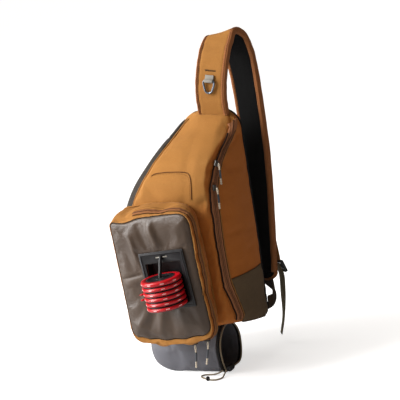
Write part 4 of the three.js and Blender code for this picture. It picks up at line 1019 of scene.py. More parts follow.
def ring_columns(front, back, marks, counts):
    """Both outlines cut into four chains at the marked corners, with evenly spaced points"""
    total = len(front)
    middle = corner_steps // 2
    block = corner_steps + 1 + edge_steps
    both = np.concatenate([front, back], axis=1)
    chains = []
    for n, (first, last) in enumerate(zip(marks, marks[1:] + marks[:1])):
        start, end = first * block + middle, last * block + middle
        end += total if end <= start else 0
        chain = both[np.arange(start, end + 1) % total]
        chains.append(evenly(chain, counts[n] + 1)[:-1])
    whole = np.concatenate(chains)
    return whole[:, :2], whole[:, 2:]


def outward(points):
    along = unit(np.roll(points, -1, axis=0) - np.roll(points, 1, axis=0))
    return np.stack([-along[:, 1], along[:, 0]], axis=1)


def patch(left, right, low, high):
    """A Coons patch between four lines of points: left and right rise, low and high run left to right"""
    v = np.linspace(0, 1, len(left))[:, None, None]
    u = np.linspace(0, 1, len(low))[None, :, None]
    sides = mix(left[:, None], right[:, None], u)
    ends = mix(low[None], high[None], v)
    corners = mix(mix(left[0], right[0], u), mix(left[-1], right[-1], u), v)
    return sides + ends - corners


def chains_of(ring, counts):
    """Left, right, low and high lines of a ring that starts at its lower left corner and climbs"""
    a, b, c, _ = counts
    left = ring[: a + 1]
    high = ring[a : a + b + 1]
    right = ring[a + b : a + b + c + 1][::-1]
    low = np.concatenate([ring[a + b + c :], ring[:1]])[::-1]
    return left, right, low, high


body_counts = [58, 22, 58, 22]
right_first = body_counts[0] + body_counts[1]
front_ring, back_ring = ring_columns(
    outline([(body_x(c["left"]), body_z(c["up"]), c["round"]) for c in body_corners], corner_round),
    outline([(body_x(c["back_left"]), body_z(c["back_up"]), c["round"]) for c in body_corners], corner_round),
    [0, 5, 6, 10],
    body_counts,
)
front_out, back_out = outward(front_ring), outward(back_ring)
side_steps = 15
corner_angles = np.linspace(0, pi / 2, 5)


def side_ring(depth):
    out = mix(front_out, back_out, depth)
    swell = side_bulge * np.abs(out[:, 0]) * sin(pi * depth)
    flat = mix(front_ring, back_ring, depth) + out * swell[:, None]
    y = mix(lean(front_ring[:, 1]) + edge_round, body_back - edge_round, depth)
    return np.stack([flat[:, 0], y, flat[:, 1]], axis=1)


def edge_ring(ring, out, inset, y):
    flat = ring - out * inset
    return np.stack([flat[:, 0], np.broadcast_to(y, len(flat)), flat[:, 1]], axis=1)


def body_rings():
    rings = []
    for angle in corner_angles[:-1]:
        inset = edge_round * (1 - sin(angle))
        ring = edge_ring(front_ring, front_out, inset, 0)
        ring[:, 1] = lean(ring[:, 2]) + edge_round * (1 - cos(angle))
        rings.append(ring)
    rings += [side_ring(depth) for depth in np.linspace(0, 1, side_steps + 1)]
    for angle in corner_angles[::-1][1:]:
        inset = edge_round * (1 - sin(angle))
        rings.append(edge_ring(back_ring, back_out, inset, body_back - edge_round * (1 - cos(angle))))
    return np.array(rings)


# The body's side counts 4 rows of rounding, 16 of wall, and 4 of rounding
wall_start = len(corner_angles) - 1


# Soft folds of the front: down beside the slip pocket, at its foot and below the strap
front_folds = [
    ((82, 400), (88, 310), 9.0, 1.0), ((70, 390), (76, 310), 8.0, -0.8),
    ((20, 300), (60, 292), 6.0, 1.5), ((-10, 318), (24, 296), 7.0, -1.3), ((40, 385), (70, 350), 12.0, 1.2),
    ((58, 432), (62, 408), 4.0, -1.0), ((74, 434), (74, 412), 4.0, 1.0), ((88, 432), (84, 410), 4.0, -1.0),
]


def body_piece():
    rings = body_rings()
    rows, columns = rings.shape[:2]
    fronts = patch(*chains_of(rings[0], body_counts))
    u = np.linspace(0, 1, fronts.shape[1])[None, :]
    v = np.linspace(0, 1, fronts.shape[0])[:, None]
    fronts[..., 1] = lean(fronts[..., 2]) - front_crown * np.sin(pi * u) ** 0.8 * np.sin(pi * v) ** 0.4
    inner = np.clip(np.minimum(u, 1 - u) * 6, 0, 1) * np.clip(np.minimum(v, 1 - v) * 8, 0, 1)
    fronts[..., 1] -= fold_field(fronts[..., [0, 2]], front_folds) * inner
    backs = patch(*chains_of(rings[-1], body_counts))
    parts = [
        grid_object("body_canvas", rings, wrap=True, material=canvas),
        grid_object("front", fronts, material=canvas),
        grid_object("back", backs, material=canvas),
    ]
    piece = joined("body_canvas", parts)
    return piece, (rows, columns), fronts.shape[:2], backs.shape[:2]


def zip_depth(share):
    """How far back the main zip runs, at a share of its way down the right side"""
    table = np.array([(0, 0.45), (0.22, 0.2), (0.34, 0.1), (0.6, 0.08), (0.78, 0.1), (1, 0.3)], float)
    fine = np.linspace(0, 1, 201)
    return np.interp(share, fine, smoothed(np.interp(fine, *table.T), 31))


def fold_field(points, folds):
    """Sum of listed folds. Each has a start and an end in x and z, a width and a height."""
    total = np.zeros(points.shape[:-1])
    for start, end, width, height in folds:
        start, end = vec(*start), vec(*end)
        run = end - start
        share = np.clip(((points - start) @ run) / (run @ run), 0, 1)
        away = np.linalg.norm(points - start - share[..., None] * run, axis=-1)
        total += height * np.exp(-((away / width) ** 2)) * np.sin(pi * (0.08 + 0.84 * share)) ** 0.5
    return total


body, side_shape, front_shape, back_shape = body_piece()
front_first = side_shape[0] * side_shape[1]
back_first = front_first + front_shape[0] * front_shape[1]


def body_pins():
    """Seams hold the cloth: the zip, the gusset's front seam, both ends of the wall and the pocket's"""
    rows, columns = side_shape
    row = np.arange(rows)[:, None]
    column = np.arange(columns)[None, :]
    held = np.zeros((rows, columns))
    share = (column - right_first) / body_counts[2]
    zip_row = wall_start + zip_depth(share) * side_steps
    on_right = (share >= 0) & (share <= 1)
    held = np.maximum(held, on_right * np.exp(-((row - zip_row) / 0.9) ** 2))
    gusset_row = wall_start + 0.08 * side_steps
    on_left = column <= body_counts[0]
    held = np.maximum(held, on_left * np.exp(-((row - gusset_row) / 0.8) ** 2))
    held = np.maximum(held, np.exp(-((row - (rows - 2)) / 1.2) ** 2))
    below = (column >= right_first + body_counts[2]) | (column == 0)
    held = np.maximum(held, below * 1.0)
    return held


# The three grids are merged along their edges, and each kept point remembers its first place
pins_side = body_pins()
front_points = points_of(body, front_first, front_shape)
under_pocket = (front_points[..., 0] > -40) & (front_points[..., 0] < 90) & (front_points[..., 2] < 280)
pins = np.concatenate([pins_side.ravel(), under_pocket.ravel() * 1.0, np.ones(back_shape[0] * back_shape[1])])
before = places(body.data)
edit = bmesh.new()
edit.from_mesh(body.data)
edit.verts.ensure_lookup_table()
order = edit.verts.layers.int.new("first")
for n, vertex in enumerate(edit.verts):
    vertex[order] = n
bmesh.ops.remove_doubles(edit, verts=edit.verts, dist=1e-6)
bmesh.ops.recalc_face_normals(edit, faces=edit.faces)
edit.to_mesh(body.data)
edit.free()
kept = np.zeros(len(body.data.vertices), int)
body.data.attributes["first"].data.foreach_get("value", kept)
settled(body, pins[kept], pressure=1.6, growth=0.012, cap=3.5)
shaded(body.data)

# The settled places, back on the grids that the other pieces are laid on
after = places(body.data)
keys = {tuple(np.round(before[n] / 1e-6).astype(int)): m for m, n in enumerate(kept)}
lookup = np.array([keys.get(tuple(np.round(p / 1e-6).astype(int)), -1) for p in before])
settled_all = np.where(lookup[:, None] >= 0, after[lookup], before).astype(float) / MM
side_grid = settled_all[:front_first].reshape(*side_shape, 3)
front_grid = settled_all[front_first:back_first].reshape(*front_shape, 3)
side_surface = Surface(np.concatenate([side_grid, side_grid[:, :1]], axis=1), (20, 0, 230))
front_surface = Surface(front_grid, (20, 0, 230))
finer(body)
fitted(body, "canvas", "body_shell")

zip_forward = 3.5


def zip_place(share, aside=0.0):
    """Row and column of a place on the main zip, a distance aside from its middle"""
    share = np.asarray(share, float)
    column = right_first + share * body_counts[2]
    front_y = lean(np.interp(column, np.arange(len(front_ring)), front_ring[:, 1])) + edge_round
    depth = zip_depth(share) + (aside - zip_forward) / (body_back - edge_round - front_y)
    return wall_start + depth * side_steps, column


shares = np.linspace(0.045, 0.985, 110)
zip_half = 8.6
columns_of = np.linspace(-1, 1, 9)
tape_rows = np.stack([zip_place(shares, zip_half * s)[0] for s in columns_of], axis=1)
tape_columns = np.stack([zip_place(shares)[1]] * len(columns_of), axis=1)
main_tape = laid("main_zip", side_surface, tape_rows, tape_columns, 1.0, 1.0, tape, bow=0.6)
zip_line = side_surface.at(*zip_place(shares), 2.7)
zip_outs = side_surface.out(*zip_place(shares))
coil_points = evenly(zip_line, int(lengths(zip_line)[-1] / 1.5))
coil_outs = unit(read_off(np.linspace(0, 1, len(coil_points)), np.linspace(0, 1, len(shares)), zip_outs))
main_coil = set_along(
    "main_coil", coil_points, tangents(coil_points), coil_outs, tooth_item, tape_dark, (1.1, 0.9, 0.9)
)
fitted(main_tape, "zip_tape", "main_zip_tape")
fitted(main_coil, "zip_tape")
# zip_shade_front and zip_shade_back are dark tubes of painted shade along the tape's edges; the back welt is
# canvas piping, and the ribs are thin dark lines beside the coil
for name, aside, radius, finish, out in (
    ("zip_shade_front", -zip_half, 1.2, seam_cloth, 1.5), ("zip_welt_back", zip_half + 0.6, 1.4, canvas, 1.1),
    ("zip_shade_back", zip_half - 1.1, 1.0, seam_cloth, 1.7), ("zip_rib_front", -3.0, 0.36, seam_cloth, 2.5),
    ("zip_rib_back", 3.0, 0.36, seam_cloth, 2.5),
):
    line = side_surface.at(*zip_place(shares[5:], aside), out)
    welt = tube(name, evenly(line, 150), radius, sides=10, material=finish)
    fitted(welt, "canvas" if finish is canvas else "zip_tape")
for name, aside in (("zip_stitches_front", -zip_half - 3.4), ("zip_stitches_back", zip_half + 3.4)):
    row, column = zip_place(shares, aside)
    sewn = stitches(name, side_surface.at(row, column, 0), side_surface.out(row, column))
    fitted(sewn, "canvas")

# Left gusset: dark coated cloth with two ribs by its front seam
gusset_columns = np.linspace(1.0, body_counts[0] - 3.0, 90)
gusset_narrow = np.clip((body_counts[0] - 3.0 - gusset_columns) / 12, 0, 1)[:, None] ** 0.6
gusset_depths = np.linspace(0.085, 0.955, 26)
columns_grid = np.repeat(gusset_columns[:, None], 26, axis=1)
rows_grid = wall_start + (0.52 + (gusset_depths[None, :] - 0.52) * (0.02 + 0.98 * gusset_narrow)) * side_steps
left_gusset = laid("side_gusset", side_surface, rows_grid, columns_grid, 0.3, 1.0, gusset_cloth, bow=0.8)
fitted(left_gusset, "coated_cloth", "left_gusset")
for name, depth, radius, finish, slot in (
    ("gusset_piping_front", 0.075, 1.3, canvas, "canvas"),
    ("gusset_rib", 0.13, 0.8, gusset_cloth, "coated_cloth"),
    ("gusset_rib_back", 0.2, 0.7, gusset_cloth, "coated_cloth"),
):
    line = side_surface.at(wall_start + depth * side_steps, gusset_columns, 1.1 if radius < 1 else 0.6)
    rib = tube(name, evenly(line, 150), radius, sides=8, material=finish)
    fitted(rib, slot)

# Binding round the back edge, in black
ring_columns_all = np.linspace(0, side_shape[1], 320)
back_line = side_surface.at(side_shape[0] - 3.2, ring_columns_all, 0.6)[:-1]
back_piping = tube("back_piping", back_line, 2.0, sides=10, material=elastic, closed=True)
fitted(back_piping, "spacer_mesh")

# Side patch behind the zip
patch_top, patch_fall, patch_bottom = 0.27, -0.008, 0.03
patch_rows, patch_columns = [], []
for row_share in np.linspace(0, 1, 26):
    rows_line, columns_line = [], []
    for share in np.linspace(0, 1, 28):
        up = mix(patch_top - patch_fall * share, patch_bottom, row_share)
        height = body_z(up)
        right_heights = front_ring[right_first : right_first + body_counts[2] + 1, 1]
        column = right_first + np.interp(-height, -right_heights, np.arange(len(right_heights)))
        zip_share = (column - right_first) / body_counts[2]
        near = zip_place(zip_share, zip_half + 2.5)[0]
        rows_line.append(mix(float(near), wall_start + side_steps * 1.0, share))
        columns_line.append(column)
    patch_rows.append(rows_line)
    patch_columns.append(columns_line)
side_patch = laid(
    "side_patch_cloth", side_surface, np.array(patch_rows), np.array(patch_columns), 0.3, 1.2, patch_cloth
)
fitted(side_patch, "coated_cloth", "side_patch")

# Padded back panel with sewn channels
def back_pad():
    padding, inset = 11.0, 5.0
    section = ((1, 0), (-1, 0.2), (-1.5, 0.45), (0, 0.72), (3.5, 0.9))
    rings = [edge_ring(back_ring, back_out, inset + a, body_back + 0.3 + padding * b) for a, b in section]
    face = patch(*chains_of(rings[-1], body_counts))
    face = np.array([evenly(row, 60) for row in face])
    channels = [
        ((42, 92), (66, 350), 5.0, -3.6), ((-8, 90), (38, 340), 5.0, -3.6), ((-52, 96), (4, 330), 5.0, -3.0)
    ]
    u = np.linspace(0, 1, face.shape[1])[None, :]
    edge = np.minimum(u, 1 - u)
    rise = 1.4 * np.clip(edge * 8, 0, 1) ** 0.5
    face[..., 1] += rise + fold_field(face[..., [0, 2]], channels)
    return rings, face


pad_rings, pad_face = back_pad()
pad = joined("back_pad", [
    grid_object("back_pad", np.array(pad_rings), wrap=True, material=spacer),
    grid_object("pad_face", pad_face, material=spacer),
])
tidy_mesh(pad, merge=2e-5, outward=True)
finer(pad)
fitted(pad, "spacer_mesh", "back_panel")
pad_seam = tube(
    "pad_seam", edge_ring(back_ring, back_out, 4.2, body_back + 2.0), 1.5, sides=8, material=elastic,
    closed=True,
)
fitted(pad_seam, "spacer_mesh")


# Front pocket, in shares of its own width and height from its centre: the panel's outline, then the
# line where its gusset meets the body
pocket_width, pocket_height, pocket_depth = 146.0, 202.0, 46.0
pocket_x0, pocket_z0 = 30.0, body_bottom + 114.0
pocket_round, pocket_crown, pocket_wall, gusset_swell = 20.0, 6.0, 2.0, 4.0
panel_y = body_front - pocket_depth
pocket_corners = named(("aside", "up", "base_aside", "base_up", "round"), [
    (-0.452, -0.49, -0.52, -0.475, 1),
    (-0.488, 0.1, -0.56, 0.1, 2),
    (-0.514, 0.467, -0.51, 0.51, 0.45),
    (0.1, 0.512, 0.02, 0.56, 2),
    (0.465, 0.525, 0.35, 0.515, 1.2),
    (0.473, 0.1, 0.4, 0.1, 2),
    (0.54, -0.455, 0.42, -0.435, 1.3),
    (0.02, -0.52, 0.01, -0.49, 2),
])
pocket_counts = [64, 48, 64, 48]


def pocket_x(aside):
    return pocket_x0 + aside * pocket_width


def pocket_z(up):
    return pocket_z0 + up * pocket_height


pocket_ring, pocket_base = ring_columns(
    outline([(pocket_x(c["aside"]), pocket_z(c["up"]), c["round"]) for c in pocket_corners], pocket_round),
    outline(
        [(pocket_x(c["base_aside"]), pocket_z(c["base_up"]), c["round"]) for c in pocket_corners],
        pocket_round,
    ),
    [0, 2, 4, 6],
    pocket_counts,
)
pocket_out = outward(pocket_ring)
gusset_steps = 14
panel_ring = pocket_ring.copy()
low_side, right_side = np.clip(-pocket_out[:, 1], 0, 1), np.clip(pocket_out[:, 0], 0, 1)
panel_inset = 0.8 + 7.5 * low_side**1.5 + 1.6 * right_side
column_of = np.arange(len(pocket_ring))
sagging = np.exp(-(((column_of - pocket_counts[0] - 9) / 5.5) ** 2))
panel_inset += 4.5 * sagging
wave = 0.9 * np.sin(column_of * 0.55) * low_side
panel_ring -= pocket_out * (panel_inset + wave)[:, None]


def pocket_wall_ring(depth):
    swell = gusset_swell * sin(pi * min(max(depth, 0), 1))
    swell = swell + 3.0 * low_side * exp(-(((depth - 0.2) / 0.2) ** 2))
    flat = mix(
        pocket_ring, pocket_base, depth
    ) + pocket_out * np.broadcast_to(swell, len(pocket_out))[:, None]
    return edge_ring(flat, pocket_out, 0, mix(panel_y, body_front, depth))


lip = [
    edge_ring(mix(panel_ring, pocket_ring, s), pocket_out, 0, panel_y - h) for s,
    h in ((-0.02, 0.6), (0.35, 2.0), (0.75, 1.9), (1.0, 1.1))
]
pocket_depths = np.concatenate([np.full(4, 0.0), np.linspace(0.04, 1.08, gusset_steps + 1)])
gusset_grid = np.array(lip + [pocket_wall_ring(depth) for depth in pocket_depths[4:]])
lip_rows = len(lip)
# Soft dents in the gusset's cloth, along the top, the side and the bottom
dents = [
    (0.42, 72, 0.8, 5, -3.4), (0.5, 84, 0.8, 6, 2.4), (0.45, 97, 0.6, 5, -2.4), (0.6, 108, 0.6, 8, 1.6),
    (0.5, 124, 0.5, 9, -2.4), (0.6, 140, 0.6, 9, 1.8), (0.55, 158, 0.6, 9, -2.6), (0.5, 172, 0.5, 6, 2.0),
    (0.2, 182, 0.6, 4, -3.0), (0.25, 190, 0.5, 4, 2.4), (0.2, 198, 0.6, 5, -3.2), (0.25, 207, 0.5, 4, 2.6), (
        0.2, 215, 0.6, 4, -2.6
    ),
    (0.5, 30, 0.5, 12, 2.0),
]
for depth, column, reach, spread_by, height in dents:
    d = np.exp(-(((pocket_depths - depth) / reach * 2.0) ** 2))[:, None]
    away = np.abs(np.arange(len(pocket_ring)) - column)
    away = np.minimum(away, len(pocket_ring) - away)
    c = np.exp(-((away / spread_by) ** 2))[None, :]
    c = c * (np.arange(len(pocket_depths)) >= lip_rows)[:, None]
    gusset_grid += (d * c * height)[..., None] * np.stack(
        [pocket_out[:, 0], 0 * pocket_out[:, 0], pocket_out[:, 1]], 1
    )[None]
pocket_gusset = grid_object("pocket_side", gusset_grid, wrap=True, material=canvas)
held = np.zeros(gusset_grid.shape[:2])
held[:1] = 1
held[-2:] = 1
settled(pocket_gusset, held.ravel(), pressure=0.8, growth=0.02, cap=2.4)
gusset_grid = points_of(pocket_gusset, 0, gusset_grid.shape[:2])
pocket_surface = Surface(
    np.concatenate([gusset_grid, gusset_grid[:, :1]], axis=1), (pocket_x0, -80, pocket_z0)
)
tidy_mesh(pocket_gusset, outward=True)
finer(pocket_gusset)
thick(pocket_gusset, pocket_wall)
tidy_mesh(pocket_gusset, outward=True)
fitted(pocket_gusset, "canvas", "pocket_gusset")

# The dock's own frame: it lies on the panel's middle and leans with it
dock_tilt = radians(5.5)
dock_centre = vec(pocket_x0 + 17, panel_y - pocket_crown - pocket_wall, pocket_z0 + 4)
dock_matrix = Matrix.Translation(Vector(dock_centre * MM)) @ Matrix.Rotation(-dock_tilt, 4, "Y")


def in_dock(points):
    points = np.asarray(points, float)
    c, s = cos(dock_tilt), sin(dock_tilt)
    x, y, z = points[..., 0], points[..., 1], points[..., 2]
    return np.stack([x * c - z * s, y, x * s + z * c], axis=-1) + dock_centre


def from_dock(x, z):
    c, s = cos(dock_tilt), sin(dock_tilt)
    x, z = x - dock_centre[0], z - dock_centre[2]
    return x * c + z * s, -x * s + z * c


dock_width, dock_height, dock_plate = 78.0, 90.0, 2.5
side_bar, top_bar, bottom_bar = 8.0, 17.0, 6.5
recess_low, recess_high = -dock_height / 2 + bottom_bar, dock_height / 2 - top_bar
recess_x = dock_width / 2 - side_bar

# Coated panel: crowned to a flat middle, with the folds that run out from the dock's corners
panel_face = patch(*chains_of(edge_ring(panel_ring, pocket_out, 0, panel_y - 0.3), pocket_counts))
panel_face = np.array([evenly(row, 73) for row in panel_face])
panel_face = np.stack([evenly(panel_face[:, j], 97) for j in range(73)], axis=1)
u = np.linspace(0, 1, 73)[None, :]
v = np.linspace(0, 1, 97)[:, None]
from_edge = np.minimum(np.minimum(u, 1 - u) * pocket_width, np.minimum(v, 1 - v) * pocket_height)
crown = 1 - (1 - np.clip(from_edge / 30, 0, 1)) ** 2.2
panel_flat = panel_face[..., [0, 2]]
local_x, local_z = from_dock(panel_face[..., 0], panel_face[..., 2])
under_dock = (np.abs(local_x) < dock_width / 2 + 1) & (np.abs(local_z) < dock_height / 2 + 1)
panel_folds = [
    ((39, 232), (27, 272), 6.5, 5.2), ((18, 236), (8, 266), 6.0, -1.6),
    ((6, 200), (-10, 254), 5.5, 3.2), ((-12, 196), (-24, 240), 8.0, -1.8),
    ((5, 192), (-42, 182), 2.2, -2.2), ((5, 184), (-42, 172), 5.0, 1.2), ((6, 150), (-30, 130), 9.0, 1.6),
    ((10, 140), (-20, 106), 6.5, 2.4), ((16, 134), (-2, 98), 6.5, -2.0), ((28, 134), (20, 96), 6.5, 2.2),
    ((40, 136), (42, 98), 7.0, -1.6), ((58, 138), (66, 102), 8.0, 1.8), ((76, 144), (86, 112), 7.0, -1.4),
    ((88, 236), (94, 256), 7.0, 1.2), ((62, 236), (64, 262), 9.0, -1.4),
    ((-20, 110), (20, 96), 6.0, 1.2), ((92, 176), (97, 226), 6.0, 1.4),
]
inner = np.clip(from_edge / 9, 0, 1)
clear_of_dock = np.clip(
    (np.maximum(np.abs(local_x) - dock_width / 2, np.abs(local_z) - dock_height / 2)) / 8, 0, 1
)
sag = 0.6 * np.sin(panel_face[..., 0] * 0.09 + 1) * np.sin(panel_face[..., 2] * 0.06)
panel_face[..., 1] = panel_y - 0.3 - pocket_wall - crown * pocket_crown
panel_face[..., 1] -= (fold_field(panel_flat, panel_folds) * 0.9 + sag) * inner * clear_of_dock
panel_face[..., 1] = np.where(from_edge < 0.01, panel_y - 0.3, panel_face[..., 1])
held = np.maximum(np.clip(1 - from_edge / 5, 0, 1), 1.0 * (clear_of_dock < 0.15))
inside_recess = (
    np.abs(local_x) < recess_x + 0.8
) & (local_z > recess_low - 0.8) & (local_z < recess_high + 0.8)
corner_in = inside_recess[:-1, :-1] & inside_recess[1:, :-1] & inside_recess[:-1, 1:] & inside_recess[1:, 1:]
panel = grid_object("pocket_face", panel_face, material=coated)
settled(panel, held.ravel(), pressure=-0.4, growth=0.005, cap=1.0)
panel_face = points_of(panel, 0, panel_face.shape[:2])
bpy.data.objects.remove(panel)
panel = grid_object("pocket_face", panel_face, material=coated, keep=~corner_in)
tidy_mesh(panel, outward=True)
if panel.data.polygons[10].normal.y > 0:
    panel.data.flip_normals()
finer(panel)
thick(panel, 1.8)
fitted(panel, "coated_cloth", "pocket_panel")

# Pocket zip, close behind the panel's edge along the top and down the right side
def gusset_row_of(depth):
    """Row of the pocket's gusset at a depth behind the panel"""
    return lip_rows + (depth - 0.04) / 1.04 * gusset_steps


zip_row = gusset_row_of(0.17)
row_width = 8.0 / pocket_depth / 1.04 * gusset_steps
pocket_columns = np.linspace(pocket_counts[0] + 14, sum(pocket_counts[:3]) + 8, 150)
across = np.linspace(-0.5, 0.5, 7)
rows_grid, columns_grid = np.meshgrid(zip_row + across * row_width, pocket_columns)
pocket_tape = laid(
    "pocket_zip", pocket_surface, rows_grid, columns_grid, 0.6, 0.9, pocket_tape_cloth, bow=0.5
)
coil_line = evenly(pocket_surface.at(zip_row, pocket_columns, 2.0), 240)
coil_out = pocket_surface.out(zip_row, np.linspace(pocket_columns[0], pocket_columns[-1], 240))
pocket_coil = set_along(
    "pocket_coil", coil_line, tangents(coil_line), coil_out, tooth_item, tape_dark, (1.0, 0.8, 0.8)
)
fitted(pocket_tape, "zip_tape", "pocket_zip_tape")
fitted(pocket_coil, "zip_tape")
panel_welt = tube(
    "panel_welt", edge_ring(panel_ring - pocket_out * 0.3, pocket_out, 0, panel_y - 0.9), 0.8, sides=10,
    material=dark_thread, closed=True,
)
fitted(panel_welt, "coated_cloth")
# zip_fold_shade and zip_lip_shade are thin dark tubes of painted shade on both sides of the pocket zip;
# zip_fold is the canvas fold over it
for name, aside, radius, finish in (
    ("zip_fold", 0.6, 1.3, canvas), (
        "zip_fold_shade", 0.5, 0.55, seam_cloth
    ), ("zip_lip_shade", -0.5, 0.5, seam_cloth),
):
    line = evenly(pocket_surface.at(zip_row + row_width * aside, pocket_columns, 0.9), 180)
    piece = tube(name, line, radius, sides=8, material=finish)
    fitted(piece, "canvas" if finish is canvas else "zip_tape")
seam_line = pocket_surface.at(zip_row + row_width * 1.25, pocket_columns, 0)
pocket_sewn = stitches(
    "pocket_stitches", seam_line, pocket_surface.out(zip_row + row_width * 1.25, pocket_columns)
)
fitted(pocket_sewn, "canvas")

# The pocket's seam on the body
base_line = edge_ring(pocket_base + pocket_out * 1.2, pocket_out, 0, 0)
base_line[:, 1] = lean(base_line[:, 2]) - 2.4
base_welt = tube(
    "base_welt", evenly(np.concatenate([base_line, base_line[:1]]), 220)[:-1], 1.3, sides=8, material=canvas,
    closed=True,
)
fitted(base_welt, "canvas")

# Dock: the moulded tray, with its edges rounded
tray = bevelled(copied("dock_tray", "spool_dock", plastic), 0.45, 2)
fitted(tray, "black_plastic", "dock_tray")

# Spools and their bands, on a cord through the middle
spool_radius, spool_thickness, spool_count, hub = 31.0, 7.5, 6, 3.0
plate_front = -0.6 - dock_plate
spool_y = plate_front - 15.0
stack_low = recess_low + 0.9
pitch = spool_thickness + 0.3


def spool_profile(top_rim=0.0):
    """Two flanges on a drum. Top_rim is how much smaller the upper flange is."""
    half, rim, root = spool_thickness / 2, spool_radius - 2.2, spool_radius - 4.2
    above = rim - top_rim
    return [
        (hub, -half + 0.3), (hub + 0.3, -half), (8.5, -half), (9, -half + 0.7), (
            rim - 4.5, -half + 0.7
        ), (rim - 4, -half),
        (rim - 0.3, -half), (rim, -half + 0.25), (rim, -half + 0.75), (
            rim - 0.2, -half + 0.95
        ), (root, -half + 1.1),
        (root, half - 1.1), (
            above - 0.2, half - 0.95
        ), (above, half - 0.75), (above, half - 0.25), (above - 0.3, half),
        (above - 4, half), (
            above - 4.5, half - 0.7
        ), (9, half - 0.7), (8.5, half), (hub + 0.3, half), (hub, half - 0.3),
    ]


def band_profile(near=spool_radius - 4.0):
    half = spool_thickness / 2 - 1.3
    return [
        (near, -half), (spool_radius - 0.7, -half), (
            spool_radius - 0.1, -half + 0.7
        ), (spool_radius + 0.1, -0.72),
        (spool_radius + 0.15, -0.68), (spool_radius + 0.15, 0.68), (spool_radius + 0.1, 0.72),
        (spool_radius - 0.1, half - 0.7), (spool_radius - 0.7, half), (near, half),
    ]


def top_band_profile():
    """The uppermost band is turned in over its spool's edge"""
    profile = band_profile()
    half, near = spool_thickness / 2, spool_radius - 8.4
    return profile[:6] + [
        (spool_radius, 1.6), (spool_radius - 0.9, half - 0.4), (spool_radius - 1.8, half), (near, half - 0.1),
        (near, half - 1.3), (spool_radius - 4.0, 1.6),
    ]


def printed(piece, radius):
    """Marks the outer face of a band, where its dashes are"""
    x, y, z = (places(piece.data) / MM).T
    write_values(piece, "printed", (np.hypot(x, y) > radius) & (np.abs(z) < 0.7))


for n in range(spool_count):
    place = Matrix.Translation(Vector((0, spool_y * MM, (stack_low + pitch * (n + 0.5)) * MM)))
    tip, roll = radians(rng.uniform(-0.5, 0.5)), radians(rng.uniform(-0.5, 0.5))
    lean_by = Matrix.Rotation(tip, 4, "X") @ Matrix.Rotation(roll, 4, "Y")
    turn = Matrix.Rotation(rng.uniform(0, 6.28), 4, "Z")
    uppermost = n == spool_count - 1
    spool = turned(f"line_spool_{n + 1}", spool_profile(6.0 if uppermost else 0), 72, spool_plastic)
    section = top_band_profile() if uppermost else band_profile()
    ring_band = turned(f"line_band_{n + 1}", section, 96, red_band)
    big = 1.6 if n in (2, 3) else 0.8
    printed(ring_band, spool_radius - 0.4)
    tab = small_item(
        "tab", [(-0.5, 0.3, 0.3), (0, 2.3, 0.9), (2.6, 2.3, 0.8), (3.4, 1.9, 0.5), (3.7, 0.4, 0.1)]
    )
    tab.hide_render = tab.hide_viewport = False
    tab.data.materials.append(red_band)
    where = radians([150, 165, 214, 206, 160, 170][n])
    rim_place = Matrix.Translation(Vector((cos(where), sin(where), 0)) * spool_radius * MM)
    set_in(tab, rim_place @ Matrix.Rotation(where, 4, "Z") @ Matrix.Scale(big, 4))
    ring_band = joined(f"line_band_{n + 1}", [ring_band, tab])
    set_in(spool, dock_matrix @ place @ lean_by @ turn)
    set_in(ring_band, dock_matrix @ place @ lean_by)
    fitted(spool, "black_plastic", f"spool_{n + 1}")
    fitted(ring_band, "red_band", f"spool_band_{n + 1}")

slot_up, slot_down = dock_height / 2 - top_bar / 2, recess_low - bottom_bar * 0.42
stack_top = stack_low + spool_count * pitch
cord_points = [
    (0, -1.2, slot_up), (0, plate_front - 1, slot_up), (
        0, mix(plate_front, spool_y, 0.7), mix(slot_up, stack_top, 0.6)
    ),
    (0, spool_y, stack_top + 2), (0, spool_y, (stack_top + stack_low) / 2), (0, spool_y, stack_low + 1),
    (0, mix(plate_front, spool_y, 0.75), stack_low - 2.6), (0, -1.2, slot_down),
]
dock_cord = tube("dock_line", in_dock(smooth_points(cord_points, 70)), 2.6, sides=14, material=plastic)
knob_places = [
    (0, mix(plate_front, spool_y, 0.74), mix(slot_up, stack_top, 0.66)), (
        0, mix(plate_front, spool_y, 0.86), mix(slot_up, stack_top, 0.78)
    ),
    (0, mix(plate_front, spool_y, 0.97), stack_top + 3.4), (0, spool_y, stack_top + 0.6),
]
knob_points = in_dock(smooth_points(knob_places, 24))
knob = tube("dock_knob", knob_points, [1.4, 2.3, 2.6] + [2.6] * 19 + [3.0, 2.8], sides=14, material=plastic)
for name, height, width in (("slot_tape_upper", slot_up, 20), ("slot_tape_lower", slot_down, 18)):
    centres = in_dock([(x, plate_front + 0.9, height - 0.3) for x in np.linspace(-width / 2, width / 2, 12)])
    wides = np.repeat(in_dock([(0, 0, 1)]) - dock_centre, 12, axis=0)
    slot_tape = strip(name, centres, wides, 2.2, 0.7, pale)
    fitted(slot_tape, "pale_webbing")
fitted(dock_cord, "black_plastic", "dock_cord")
fitted(knob, "black_plastic")

# Slip pocket's piping and the seam over it, on the front panel
slip = [
    (0.44, 0.762), (0.415, 0.77), (0.36, 0.774), (0.3, 0.775), (0.24, 0.774), (0.2, 0.771), (0.175, 0.765),
    (0.16, 0.753), (0.153, 0.735), (0.152, 0.7), (0.157, 0.655),
]


def on_front(line, out):
    """Points in front of the body, brought onto its settled front face"""
    flat = front_grid.reshape(-1, 3)
    result, outs = [], []
    for x, z in line:
        away = np.hypot(flat[:, 0] - x, flat[:, 2] - z)
        near = np.argsort(away)[:6]
        weights = 1 / (away[near] + 0.5) ** 2
        y = (flat[near, 1] * weights).sum() / weights.sum()
        normal = unit((front_surface.normal.reshape(-1, 3)[near] * weights[:, None]).sum(0))
        result.append(vec(x, y, z) + normal * out)
        outs.append(normal)
    return np.array(result), np.array(outs)


